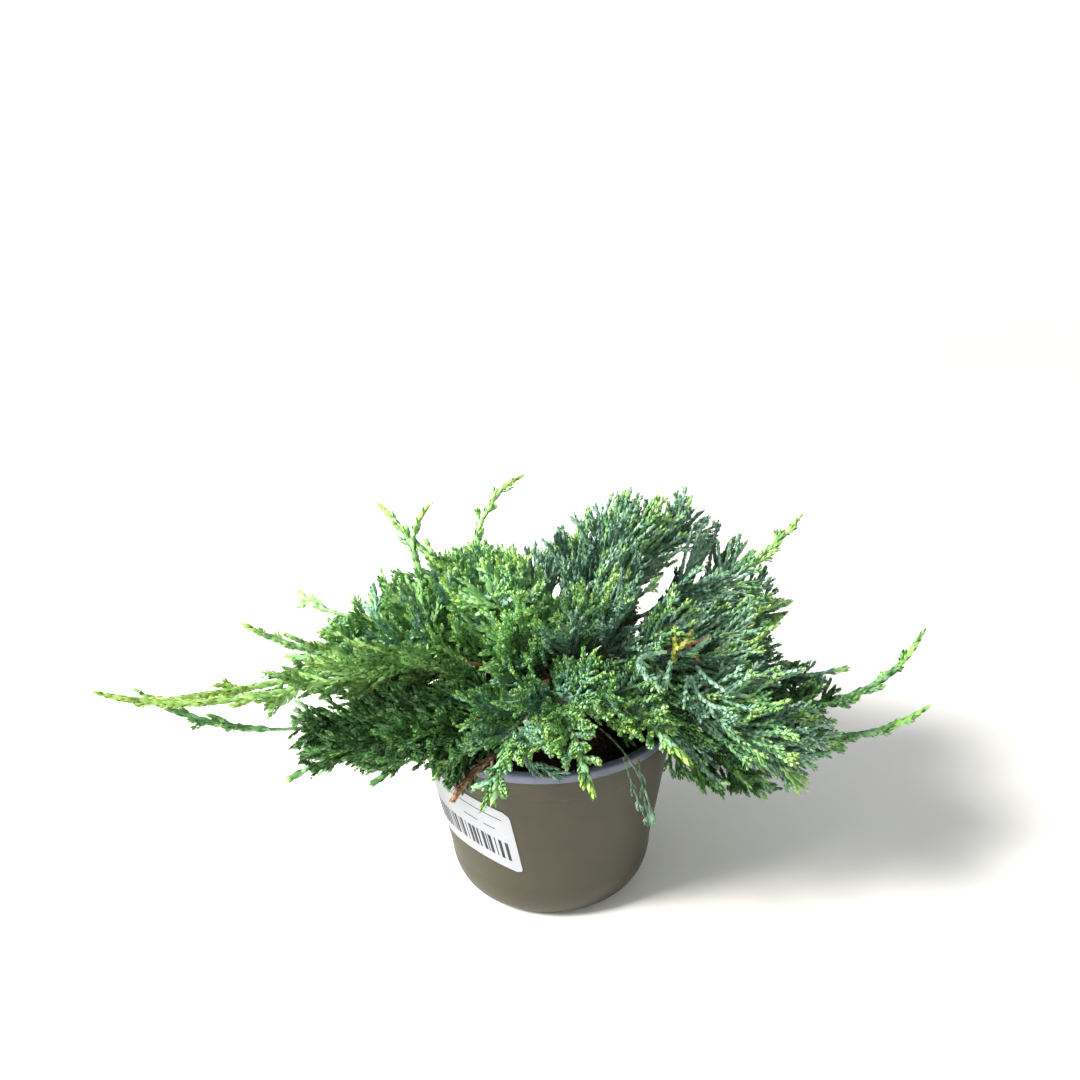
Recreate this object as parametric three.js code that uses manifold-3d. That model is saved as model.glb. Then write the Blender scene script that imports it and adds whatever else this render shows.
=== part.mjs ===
// Potted creeping juniper in a 13 cm nursery pot.
// Millimetres, +Z up. The origin is the centre of the pot's flat underside,
// and -Y is the front. Headings are degrees from +X, turning towards +Y.

import * as THREE from 'three';
import { mergeVertices } from 'three/addons/utils/BufferGeometryUtils.js';
import Module from 'manifold-3d';

const wasm = await Module();
wasm.setup();

// Gap between neighbouring pieces
const gap = 0.3;

// Pot, outside and inside
const potSides = 36;
const potHeight = 91.5;
const rimRadius = 65;
const rimBand = 4;
const collarRadius = 64;
const grooveHeight = 76.5;
const grooveRadius = 62;
const heelHeight = 22;
const heelRadius = 51.7;
const footRadius = 38.5;
const heelShares = [0.4, 0.75, 1];
const wall = 1.4;
const floorThickness = 2.6;

// Lip folded inwards on top of the rim
const lipWidth = 5.5;
const lipThickness = 1.5;

// Drain slots round the foot
const drainCount = 8;
const drainWidth = 11;
const drainHeight = 3.4;
const drainLength = 13;
const drainInset = 4;

// Potting soil
const soilLevel = 80;
const soilDish = 1.5;
const dishRadius = 30;

// Paper sticker on the wall, angles from the front towards the left.
// It sits askew: it climbs over its first part, and its edges lean.
const stickerStart = 17.5;
const stickerEnd = 82;
const stickerLow = 30.5;
const stickerHigh = 67.3;
const stickerRise = 8;
const stickerRiseOver = 38;
const stickerLean = 0.1;
const stickerThickness = 0.3;
const stickerColumns = 14;

// Short trunk, hidden under the crown
const trunkTop = 110;
const trunkRadius = 5;
const trunkTopRadius = 4.4;
const flareRadius = 8.5;
const flareHeight = 8;
const flareLobes = 5;
const flareDepth = 0.12;
const trunkLean = 0.035;
const trunkSides = 15;
const trunkRings = 7;

// Limbs: radius at the trunk, where a bough ends, and at a stem's tip
const limbStart = 2.5;
const rootRadius = 1.75;
const enterRadius = 1.2;
const stemRadius = 1.25;
const tipRadius = 0.85;
const boughSides = 5;
const boughSteps = 4;
const stemSides = 3;
const stemSteps = 7;
const handle = 0.38;
const stemGap = 1.6 * gap;

// Twigs and the leaf sprays on them
const twigRadius = 1.05;
const twigTipRadius = 0.7;
const rootSink = 1.2;
const widestAt = 0.38;
const rootShare = 0.45;
const overlapOfSpaces = 14;
const shorterTries = [1, 0.8, 0.62, 0.46];
const crowding = 0.75;
const leaderLeaves = 3;
const leaderEnd = 0.97;
const leaderSide = 0.3;
const leaderLeaf = 15;
const leaderWidth = 4.6;
const tipLeaf = 9;

// Ways of growing. forward, side and rise mix a twig's direction from the stem's own,
// its left or right and up; bend turns it on towards the tip.
const habits = {
  fan: {
    forward: 0.72, side: 0.42, rise: 0.62, bend: 0.35,
    twigs: 5, twig: 34, leaves: 3, leaf: 34, width: 9.5,
  },
  bush: {
    forward: 0.5, side: 0.62, rise: 0.72, bend: 0.2,
    twigs: 6, twig: 26, leaves: 3, leaf: 25, width: 9.5,
  },
  skirt: {
    forward: 0.66, side: 0.78, rise: 0.1, bend: 0.3,
    twigs: 5, twig: 30, leaves: 3, leaf: 29, width: 9,
  },
  whip: {
    forward: 0.8, side: 0.55, rise: 0.35, bend: 0.2,
    twigs: 5, twig: 20, leaves: 2, leaf: 19, width: 6.4, loose: true,
  },
  tassel: {
    forward: 0.9, side: 0.4, rise: 0, bend: 0.1,
    twigs: 3, twig: 16, leaves: 2, leaf: 15, width: 4, loose: true,
  },
};

// Shoots round the trunk. root: height on the trunk, heading and lift there.
// tip: heading, reach from the axis and height above the foot. end: heading and lift at the tip.
// enter: fraction of the length where the foliage begins; last: where it thins to a bare leader.
// bough: the part up to enter is a limb of its own.
const shoots = [
  {
    name: 'left_leader', habit: 'whip', bough: true,
    root: [97, 205, 55], tip: [197, 204, 140], end: [188, 24], enter: 0.24, last: 0.66,
  },
  {
    name: 'left_twin_leader', habit: 'whip',
    root: [92, 180, 38], tip: [193, 190, 126], end: [199, 6], enter: 0.26, last: 0.7,
  },
  {
    name: 'left_low_leader', habit: 'skirt', bough: true,
    root: [87, 186, 18], tip: [189, 192, 125], end: [177, 38], enter: 0.27, last: 0.68,
  },
  {
    name: 'left_bush', habit: 'bush', bough: true,
    root: [90, 152, 38], tip: [179, 146, 143], end: [184, 38], enter: 0.25, last: 0.74,
  },
  {
    name: 'left_high_bush', habit: 'bush', bough: true,
    root: [98, 162, 46], tip: [161, 134, 143], end: [110, 0], enter: 0.25, last: 0.78,
  },
  {
    name: 'left_back_leader', habit: 'bush', bough: true,
    root: [103, 140, 50], tip: [141, 108, 181], end: [150, 42], enter: 0.25, last: 0.66,
  },
  {
    name: 'left_upright_leader', habit: 'bush',
    root: [97, 130, 20], tip: [133, 84, 182], end: [20, 40], enter: 0.25, last: 0.66,
  },
  {
    name: 'top_leader', habit: 'bush',
    root: [107, 189, 14], tip: [99, 62, 195], end: [6, 25], enter: 0.22, last: 0.62,
  },
  {
    name: 'left_skirt', habit: 'skirt', bough: true,
    root: [87, 224, 18], tip: [205, 130, 91], end: [200, -22], enter: 0.33, last: 0.95,
  },
  {
    name: 'left_under_spray', habit: 'skirt',
    root: [91, 236, 36], tip: [217, 99, 90], end: [205, -20], enter: 0.33, last: 0.95,
  },
  {
    name: 'front_left_spray', habit: 'bush', bough: true,
    root: [87, 260, 42], tip: [254, 90, 97], end: [258, -55], enter: 0.3, last: 0.95,
  },
  {
    name: 'centre_bush', habit: 'bush',
    root: [108, 245, 76], tip: [215, 30, 165], end: [200, 72], enter: 0.2, last: 0.95,
  },
  {
    name: 'front_spray', habit: 'bush', bough: true,
    root: [95, 268, 46], tip: [278, 112, 112], end: [285, -35], enter: 0.25, last: 0.86,
  },
  {
    name: 'front_right_spray', habit: 'bush', bough: true,
    root: [93, 304, 42], tip: [300, 112, 116], end: [310, -25], enter: 0.3, last: 0.84,
  },
  {
    name: 'hanging_twig', habit: 'tassel',
    root: [86, 308, 42], tip: [302, 84, 72], end: [300, -80], enter: 0.45, last: 0.95,
  },
  {
    name: 'centre_right_spray', habit: 'fan',
    root: [103, 300, 56], tip: [325, 80, 140], end: [340, 5], enter: 0.25, last: 0.95,
  },
  {
    name: 'top_fan', habit: 'fan',
    root: [108, 30, 66], tip: [52, 78, 182], end: [60, 62], enter: 0.2, last: 0.95,
  },
  {
    name: 'top_right_fan', habit: 'fan', bough: true,
    root: [101, 62, 50], tip: [40, 108, 176], end: [45, 50], enter: 0.22, last: 0.92,
  },
  {
    name: 'back_right_leader', habit: 'fan', bough: true,
    root: [103, 20, 46], tip: [21, 148, 169], end: [25, 42], enter: 0.22, last: 0.72,
  },
  {
    name: 'right_high_fan', habit: 'fan', bough: true,
    root: [98, 36, 40], tip: [20, 142, 123], end: [15, 20], enter: 0.25, last: 0.92,
  },
  {
    name: 'right_fan', habit: 'fan', bough: true,
    root: [100, 356, 40], tip: [0, 150, 106], end: [4, 10], enter: 0.25, last: 0.95,
  },
  {
    name: 'right_leader', habit: 'skirt', bough: true,
    root: [97, 352, 8], tip: [358, 186, 127], end: [28, 54], enter: 0.28, last: 0.66,
  },
  {
    name: 'right_low_leader', habit: 'skirt', bough: true,
    root: [86, 345, 34], tip: [354, 186, 92], end: [8, 32], enter: 0.3, last: 0.66,
  },
  {
    name: 'right_front_spray', habit: 'fan', bough: true,
    root: [98, 318, 42], tip: [332, 130, 82], end: [338, -30], enter: 0.3, last: 0.9,
  },
  {
    name: 'right_under_spray', habit: 'skirt',
    root: [91, 332, 42], tip: [336, 110, 64], end: [342, -44], enter: 0.35, last: 0.95,
  },
  {
    name: 'back_fan', habit: 'fan', bough: true,
    root: [93, 92, 40], tip: [93, 152, 108], end: [95, -5], enter: 0.25, last: 0.85,
  },
  {
    name: 'back_right_fan', habit: 'fan', bough: true,
    root: [87, 66, 34], tip: [62, 165, 104], end: [60, 8], enter: 0.28, last: 0.85,
  },
  {
    name: 'back_left_fan', habit: 'bush', bough: true,
    root: [88, 115, 34], tip: [126, 160, 106], end: [130, 8], enter: 0.28, last: 0.85,
  },
  {
    name: 'back_left_skirt', habit: 'skirt', bough: true,
    root: [86, 152, 24], tip: [154, 160, 94], end: [156, -8], enter: 0.32, last: 0.85,
  },
  {
    name: 'back_right_skirt', habit: 'skirt', bough: true,
    root: [86, 24, 24], tip: [34, 172, 94], end: [38, 4], enter: 0.32, last: 0.85,
  },
];

// Old cut stem that rises from the soil and hangs over the rim at the front left
const cutStem = {
  foot: [246, 25, 79], crest: [242, 60, 104], tip: [240, 88, 88],
  radius: 2, tipRadius: 1.2, steps: 6,
};

// Dry twig on the centre right spray's stem: a main arm and two side arms,
// each turned from the main one's heading, with its lift and its share of the length
const dryTwig = {
  onShoot: 'centre_right_spray', at: 0.86, heading: 10, lift: 12, length: 24, radius: 1.3, tipShare: 0.6,
  sideArms: [{ turn: -75, lift: -20, share: 0.5 }, { turn: 150, lift: 25, share: 0.55 }],
};

// Outline of the crown without its leaders, as a viewer in front of the plant sees it against the
// upright plane through the pot's axis: x and height there, clockwise from the lower left
const viewer = new THREE.Vector3(-7, -487, 351);
const crownOutline = [
  [-133, 60], [-125, 73], [-127, 93], [-111, 107], [-111, 126], [-102, 146], [-83, 157], [-74, 167],
  [-56, 167], [-48, 175], [-29, 180], [-12, 172], [9, 187], [24, 194], [45, 202], [53, 189], [63, 201],
  [77, 197], [81, 178], [104, 174], [109, 165], [105, 151], [121, 144], [111, 129], [115, 117], [134, 103],
  [144, 95], [153, 81], [159, 66], [144, 57], [131, 44], [111, 34], [81, 37], [58, 49], [50, 35], [42, 36],
  [33, 62], [27, 58], [23, 44], [16, 46], [6, 57], [-15, 54], [-23, 40], [-41, 45], [-51, 43], [-60, 55],
  [-72, 68], [-84, 54], [-103, 64],
];

const up = new THREE.Vector3(0, 0, 1);

// Finishes
const finishes = {
  pot: { color: 0x6e6a58, roughness: 0.55, metalness: 0 },
  soil: { color: 0x2b2018, roughness: 1, metalness: 0 },
  sticker: { color: 0xeef2fb, roughness: 0.6, metalness: 0 },
  bark: { color: 0x7a4f36, roughness: 0.95, metalness: 0 },
  deadwood: { color: 0xa5633f, roughness: 0.9, metalness: 0 },
  fan: { color: 0x5f8f7c, roughness: 0.8, metalness: 0 },
  bush: { color: 0x4f8a3c, roughness: 0.8, metalness: 0 },
  skirt: { color: 0x3f7a4a, roughness: 0.8, metalness: 0 },
  whip: { color: 0x7fae55, roughness: 0.8, metalness: 0 },
  tassel: { color: 0x5c8468, roughness: 0.8, metalness: 0 },
};

const group = new THREE.Group();

function addPiece(name, geometry, finish) {
  const piece = new THREE.Mesh(geometry, new THREE.MeshStandardMaterial(finishes[finish]));
  piece.name = name;
  group.add(piece);
}

// Seeded random numbers, the same in every run
function seededRandom(seed) {
  let state = seed;
  return () => {
    state = (state + 0x6d2b79f5) | 0;
    let mixed = Math.imul(state ^ (state >>> 15), 1 | state);
    mixed = (mixed + Math.imul(mixed ^ (mixed >>> 7), 61 | mixed)) ^ mixed;
    return ((mixed ^ (mixed >>> 14)) >>> 0) / 4294967296;
  };
}

function radians(degrees) {
  return THREE.MathUtils.degToRad(degrees);
}

function direction(heading, lift) {
  const flat = Math.cos(radians(lift));
  return new THREE.Vector3(
    Math.cos(radians(heading)) * flat,
    Math.sin(radians(heading)) * flat,
    Math.sin(radians(lift)),
  );
}

function place(heading, reach, height) {
  return direction(heading, 0).multiplyScalar(reach).setZ(height);
}

// Closed geometry to a solid that can be joined and cut
function solidOf(geometry) {
  const bare = geometry.clone();
  bare.deleteAttribute('normal');
  bare.deleteAttribute('uv');
  const merged = mergeVertices(bare, 1e-4);
  return new wasm.Manifold(new wasm.Mesh({
    numProp: 3,
    vertProperties: new Float32Array(merged.attributes.position.array),
    triVerts: new Uint32Array(merged.index.array),
  }));
}

// The largest body of a solid: inner hollows close and loose scraps drop away
function geometryOf(solid) {
  const bodies = solid.decompose();
  const largest = bodies.reduce((best, body) => (body.volume() > best.volume() ? body : best));
  const mesh = largest.getMesh();
  const geometry = new THREE.BufferGeometry();
  geometry.setAttribute('position', new THREE.BufferAttribute(new Float32Array(mesh.vertProperties), 3));
  geometry.setIndex(new THREE.BufferAttribute(new Uint32Array(mesh.triVerts), 1));
  return geometry;
}

function joined(solids) {
  return solids.reduce((whole, solid) => whole.add(solid));
}

// Tapering limb through the points, closed with a flat cap at each end
function limb(points, radii, sides) {
  const positions = [];
  const indices = [];
  let across = new THREE.Vector3(1, 0, 0);
  points.forEach((point, ring) => {
    const before = points[Math.max(ring - 1, 0)];
    const after = points[Math.min(ring + 1, points.length - 1)];
    const along = after.clone().sub(before).normalize();
    if (ring === 0 && Math.abs(along.z) < 0.9) {
      across = along.clone().cross(up);
    }
    across.addScaledVector(along, -across.dot(along)).normalize();
    const over = across.clone().cross(along);
    for (let side = 0; side < sides; side += 1) {
      const turn = (2 * Math.PI * side) / sides;
      const vertex = point.clone()
        .addScaledVector(across, radii[ring] * Math.cos(turn))
        .addScaledVector(over, radii[ring] * Math.sin(turn));
      positions.push(vertex.x, vertex.y, vertex.z);
    }
  });
  for (let ring = 0; ring < points.length - 1; ring += 1) {
    for (let side = 0; side < sides; side += 1) {
      const here = ring * sides + side;
      const next = ring * sides + ((side + 1) % sides);
      indices.push(here, here + sides, next, next, here + sides, next + sides);
    }
  }
  const last = (points.length - 1) * sides;
  for (let side = 1; side < sides - 1; side += 1) {
    indices.push(0, side, side + 1, last, last + side + 1, last + side);
  }
  const geometry = new THREE.BufferGeometry();
  geometry.setAttribute('position', new THREE.Float32BufferAttribute(positions, 3));
  geometry.setIndex(indices);
  return geometry;
}

// Leaf spray: a slim eight-faced spindle with a pointed tip
function leafSpray(root, along, length, width) {
  const across = along.clone().cross(Math.abs(along.z) < 0.9 ? up : new THREE.Vector3(1, 0, 0)).normalize();
  const over = across.clone().cross(along);
  const middle = root.clone().addScaledVector(along, length * widestAt);
  const corners = [
    root.clone().addScaledVector(along, -rootSink),
    middle.clone().addScaledVector(across, width / 2),
    middle.clone().addScaledVector(over, width / 2),
    middle.clone().addScaledVector(across, -width / 2),
    middle.clone().addScaledVector(over, -width / 2),
    root.clone().addScaledVector(along, length),
  ];
  const geometry = new THREE.BufferGeometry();
  geometry.setAttribute('position', new THREE.Float32BufferAttribute(corners.flatMap((c) => c.toArray()), 3));
  geometry.setIndex([0, 1, 2, 0, 2, 3, 0, 3, 4, 0, 4, 1, 5, 2, 1, 5, 3, 2, 5, 4, 3, 5, 1, 4]);
  return geometry;
}

// Pot: one lathed wall with a rim band, a stepped collar and a rounded heel
function wallRadius(height) {
  const share = (height - heelHeight) / (grooveHeight - heelHeight);
  return heelRadius + (grooveRadius - heelRadius) * share;
}

// The heel's curve, at a distance inside its outer face and above a base
function heelPoint(inset, base, share) {
  const turn = (share * Math.PI) / 2;
  return new THREE.Vector2(
    footRadius - inset + (heelRadius - footRadius) * Math.sin(turn),
    base + (heelHeight - base) * (1 - Math.cos(turn)),
  );
}

function potOutside() {
  return [
    new THREE.Vector2(0, 0),
    new THREE.Vector2(footRadius, 0),
    ...heelShares.map((share) => heelPoint(0, 0, share)),
    new THREE.Vector2(grooveRadius, grooveHeight),
    new THREE.Vector2(grooveRadius + 0.8, grooveHeight + 1),
    new THREE.Vector2(collarRadius, potHeight - rimBand - 0.6),
    new THREE.Vector2(rimRadius, potHeight - rimBand),
    new THREE.Vector2(rimRadius, potHeight - 0.8),
    new THREE.Vector2(rimRadius - 0.6, potHeight),
  ];
}

function potInside(clearance, top) {
  const inset = wall + clearance;
  const floor = floorThickness + clearance;
  return [
    new THREE.Vector2(wallRadius(top) - inset, top),
    ...heelShares.map((share) => heelPoint(inset, floor, share)).reverse(),
    new THREE.Vector2(footRadius - inset, floor),
    new THREE.Vector2(0, floor),
  ];
}

const potProfile = [
  ...potOutside(),
  new THREE.Vector2(rimRadius - lipWidth, potHeight - 0.4),
  new THREE.Vector2(rimRadius - lipWidth, potHeight - lipThickness),
  new THREE.Vector2(collarRadius - wall, potHeight - lipThickness - 1),
  new THREE.Vector2(collarRadius - wall, potHeight - rimBand - 1),
  ...potInside(0, grooveHeight),
];
let potSolid = solidOf(new THREE.LatheGeometry(potProfile, potSides).rotateX(Math.PI / 2));
for (let slot = 0; slot < drainCount; slot += 1) {
  const cutter = new THREE.BoxGeometry(drainLength, drainWidth, 2 * drainHeight);
  cutter.translate(footRadius - drainInset + drainLength / 2, 0, 0);
  cutter.rotateZ((2 * Math.PI * (slot + 0.5)) / drainCount);
  potSolid = potSolid.subtract(solidOf(cutter));
}
addPiece('pot', geometryOf(potSolid), 'pot');

// Soil: level round the trunk, a little lower at the wall
const soilProfile = [
  new THREE.Vector2(0, soilLevel),
  new THREE.Vector2(dishRadius, soilLevel),
  ...potInside(gap, soilLevel - soilDish),
].reverse();
addPiece('soil', new THREE.LatheGeometry(soilProfile, potSides).rotateX(Math.PI / 2), 'soil');

// Sticker: a thin sheet bent round the wall
function stickerPoint(angle, height, lift) {
  const climb = Math.min(1, (angle - stickerStart) / stickerRiseOver);
  const lean = stickerLean * (height - (stickerLow + stickerHigh) / 2);
  const risen = height + stickerRise * Math.sin((climb * Math.PI) / 2);
  return place(270 - angle - lean, wallRadius(risen) + gap + lift * stickerThickness, risen);
}

function stickerGeometry() {
  const positions = [];
  const indices = [];
  for (let column = 0; column <= stickerColumns; column += 1) {
    const angle = THREE.MathUtils.lerp(stickerStart, stickerEnd, column / stickerColumns);
    for (const [height, lift] of [[stickerLow, 0], [stickerHigh, 0], [stickerHigh, 1], [stickerLow, 1]]) {
      positions.push(...stickerPoint(angle, height, lift).toArray());
    }
  }
  for (let column = 0; column < stickerColumns; column += 1) {
    for (let corner = 0; corner < 4; corner += 1) {
      const here = column * 4 + corner;
      const next = column * 4 + ((corner + 1) % 4);
      indices.push(here, here + 4, next, next, here + 4, next + 4);
    }
  }
  const last = stickerColumns * 4;
  indices.push(0, 1, 2, 0, 2, 3, last, last + 2, last + 1, last, last + 3, last + 2);
  const geometry = new THREE.BufferGeometry();
  geometry.setAttribute('position', new THREE.Float32BufferAttribute(positions, 3));
  geometry.setIndex(indices);
  return geometry;
}
addPiece('sticker', stickerGeometry(), 'sticker');

// Trunk: flat cut at the soil, lobed root flare, slight lean to a rounded head
function trunkGeometry(extra) {
  const positions = [];
  const indices = [];
  const foot = soilLevel + gap;
  for (let ring = 0; ring <= trunkRings; ring += 1) {
    const share = ring / trunkRings;
    const height = THREE.MathUtils.lerp(foot, trunkTop, share) + (ring === trunkRings ? extra : 0);
    const above = height - foot;
    const flare = (flareRadius - trunkRadius) * Math.exp((-3 * above) / flareHeight);
    const taper = THREE.MathUtils.lerp(trunkRadius, trunkTopRadius, share);
    const head = ring === trunkRings ? 0.72 : 1;
    for (let side = 0; side < trunkSides; side += 1) {
      const turn = (2 * Math.PI * side) / trunkSides;
      const lobe = 1 + flareDepth * Math.cos(flareLobes * turn) * Math.exp((-2 * above) / flareHeight);
      const radius = (taper + flare) * lobe * head + extra;
      positions.push(radius * Math.cos(turn) + trunkLean * above, radius * Math.sin(turn), height);
    }
  }
  for (let ring = 0; ring < trunkRings; ring += 1) {
    for (let side = 0; side < trunkSides; side += 1) {
      const here = ring * trunkSides + side;
      const next = ring * trunkSides + ((side + 1) % trunkSides);
      indices.push(here, next, here + trunkSides, next, next + trunkSides, here + trunkSides);
    }
  }
  const last = trunkRings * trunkSides;
  for (let side = 1; side < trunkSides - 1; side += 1) {
    indices.push(0, side + 1, side, last, last + side, last + side + 1);
  }
  const geometry = new THREE.BufferGeometry();
  geometry.setAttribute('position', new THREE.Float32BufferAttribute(positions, 3));
  geometry.setIndex(indices);
  return geometry;
}
addPiece('trunk', trunkGeometry(0), 'bark');
const roomForTrunk = solidOf(trunkGeometry(gap));

// Course of a shoot from just inside the trunk to its tip
function course(shoot) {
  const [height, heading, lift] = shoot.root;
  const start = place(heading, limbStart, height);
  const tip = place(...shoot.tip);
  const reach = start.distanceTo(tip) * handle;
  return new THREE.CubicBezierCurve3(
    start,
    start.clone().addScaledVector(direction(heading, lift), reach),
    tip.clone().addScaledVector(direction(...shoot.end), -reach),
    tip,
  );
}

// Points and radii along part of a curve
function stretch(curve, from, to, steps, fromRadius, toRadius) {
  const points = [];
  const radii = [];
  for (let step = 0; step <= steps; step += 1) {
    points.push(curve.getPoint(THREE.MathUtils.lerp(from, to, step / steps)));
    radii.push(THREE.MathUtils.lerp(fromRadius, toRadius, step / steps));
  }
  return { points, radii };
}

// Everything grown so far, as short straight stretches with a radius and an owner
const grown = [];

function record(points, radii, owner) {
  for (let index = 0; index < points.length - 1; index += 1) {
    const radius = Math.max(radii[index], radii[index + 1]);
    grown.push({ a: points[index], b: points[index + 1], radius, owner });
  }
}

// Shortest distance between two straight stretches
function distanceBetween(a, b, c, d) {
  const first = b.clone().sub(a);
  const second = d.clone().sub(c);
  const apart = a.clone().sub(c);
  const firstSquare = first.dot(first);
  const secondSquare = second.dot(second);
  const cross = first.dot(second);
  const onFirst = first.dot(apart);
  const onSecond = second.dot(apart);
  const spread = firstSquare * secondSquare - cross * cross;
  const clamp = THREE.MathUtils.clamp;
  let s = spread > 1e-9 ? clamp((cross * onSecond - onFirst * secondSquare) / spread, 0, 1) : 0;
  const t = clamp((cross * s + onSecond) / secondSquare, 0, 1);
  s = clamp((cross * t - onFirst) / firstSquare, 0, 1);
  return a.clone().addScaledVector(first, s).distanceTo(c.clone().addScaledVector(second, t));
}

// Room beside the pot, its rim and the soil
function clearOfPot(point, radius) {
  const reach = Math.hypot(point.x, point.y);
  const margin = radius + 2 * gap;
  if (point.z > potHeight + margin) {
    return true;
  }
  if (point.z < margin) {
    return false;
  }
  if (reach > rimRadius) {
    return reach > rimRadius + margin;
  }
  return reach < rimRadius - lipWidth - margin && point.z > soilLevel + margin;
}

// Whether the viewer sees a point inside the crown's outline
function inOutline(point) {
  const share = viewer.y / (viewer.y - point.y);
  const seen = viewer.clone().lerp(point, share);
  let inside = false;
  crownOutline.forEach(([x1, z1], index) => {
    const [x2, z2] = crownOutline[(index + 1) % crownOutline.length];
    if ((z1 > seen.z) !== (z2 > seen.z) && seen.x < ((x2 - x1) * (seen.z - z1)) / (z2 - z1) + x1) {
      inside = !inside;
    }
  });
  return inside;
}

// A stretch is free if it stays in its own space, off the pot and clear of every other piece
function isFree(a, b, radius, owner) {
  for (const share of [0.25, 0.5, 0.75, 1]) {
    const point = a.clone().lerp(b, share);
    if (!clearOfPot(point, radius)) {
      return false;
    }
    const others = shoots.filter((shoot) => shoot.name !== owner);
    const nearest = Math.min(...others.map((shoot) => distanceToCourse(point, shoot.name)));
    if (distanceToCourse(point, owner) > nearest + overlapOfSpaces) {
      return false;
    }
  }
  const outer = a.clone().lerp(b, rootShare);
  return grown.every((piece) => {
    const both = radius + piece.radius;
    return piece.owner === owner
      ? distanceBetween(outer, b, piece.a, piece.b) > crowding * both
      : distanceBetween(a, b, piece.a, piece.b) > both + gap;
  });
}

const courseSamples = new Map(shoots.map((shoot) => [shoot.name, course(shoot).getPoints(20)]));

function distanceToCourse(point, name) {
  return Math.min(...courseSamples.get(name).map((sample) => sample.distanceTo(point)));
}

// Boughs: tapering limbs from the trunk to where their foliage begins
function boughEnd(shoot) {
  return shoot.bough ? shoot.enter : 0;
}

for (const shoot of shoots.filter((s) => s.bough)) {
  const { points, radii } = stretch(course(shoot), 0, shoot.enter, boughSteps, rootRadius, enterRadius);
  const solid = solidOf(limb(points, radii, boughSides)).subtract(roomForTrunk);
  addPiece(`${shoot.name}_bough`, geometryOf(solid), 'bark');
  record(points, radii, `${shoot.name}_bough`);
}

// Stems of the masses: each starts clear of its bough's tip, or of the trunk
const stems = new Map();
for (const shoot of shoots) {
  const curve = course(shoot);
  const start = boughEnd(shoot) + (shoot.bough ? stemGap / curve.getLength() : 0);
  const { points, radii } = stretch(curve, start, 1, stemSteps, stemRadius, tipRadius);
  stems.set(shoot.name, solidOf(limb(points, radii, stemSides)).subtract(roomForTrunk));
  record(points, radii, shoot.name);
}

// Old cut stem
const cutCurve = new THREE.QuadraticBezierCurve3(
  place(...cutStem.foot),
  place(...cutStem.crest),
  place(...cutStem.tip),
);
const cutStretch = stretch(cutCurve, 0, 1, cutStem.steps, cutStem.radius, cutStem.tipRadius);
const ground = new THREE.BoxGeometry(2 * rimRadius, 2 * rimRadius, soilLevel);
ground.translate(0, 0, soilLevel / 2 + gap);
const cutSolid = solidOf(limb(cutStretch.points, cutStretch.radii, boughSides)).subtract(solidOf(ground));
addPiece('cut_stem', geometryOf(cutSolid), 'deadwood');
record(cutStretch.points, cutStretch.radii, 'cut_stem');

// Dry twig: clear of the stem that carries it
function dryTwigSolid() {
  const carrier = course(shoots.find((shoot) => shoot.name === dryTwig.onShoot));
  const foot = carrier.getPoint(dryTwig.at);
  const along = direction(dryTwig.heading, dryTwig.lift);
  const middle = foot.clone().addScaledVector(along, dryTwig.length / 2);
  const arms = [[foot, foot.clone().addScaledVector(along, dryTwig.length)]];
  for (const { turn, lift, share } of dryTwig.sideArms) {
    const aside = direction(dryTwig.heading + turn, lift);
    arms.push([middle, middle.clone().addScaledVector(aside, dryTwig.length * share)]);
  }
  const radii = [dryTwig.radius, dryTwig.radius * dryTwig.tipShare];
  arms.forEach((arm) => record(arm, radii, 'dry_twig'));
  const roomRadius = stemRadius + gap;
  const room = stretch(carrier, dryTwig.at - 0.25, 1, stemSteps, roomRadius, roomRadius);
  const twig = joined(arms.map((arm) => solidOf(limb(arm, radii, boughSides))));
  return twig.subtract(solidOf(limb(room.points, room.radii, 8)));
}
addPiece('dry_twig', geometryOf(dryTwigSolid()), 'deadwood');

// One twig or leaf: the longest of a few lengths that is free, or nothing. A leader's own
// leaves may reach beyond the crown's outline.
function fitted(root, along, length, radius, owner, beyond) {
  for (const share of shorterTries) {
    const end = root.clone().addScaledVector(along, length * share);
    if ((beyond || inOutline(end)) && isFree(root, end, radius, owner)) {
      return length * share;
    }
  }
  return 0;
}

// Direction of a side shoot: part onward, part to one side, part up
function sideways(onward, forward, side, rise) {
  const aside = onward.clone().cross(up).normalize();
  const over = aside.clone().cross(onward);
  return onward.clone().multiplyScalar(forward)
    .addScaledVector(aside, side)
    .addScaledVector(over, rise)
    .normalize();
}

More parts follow.
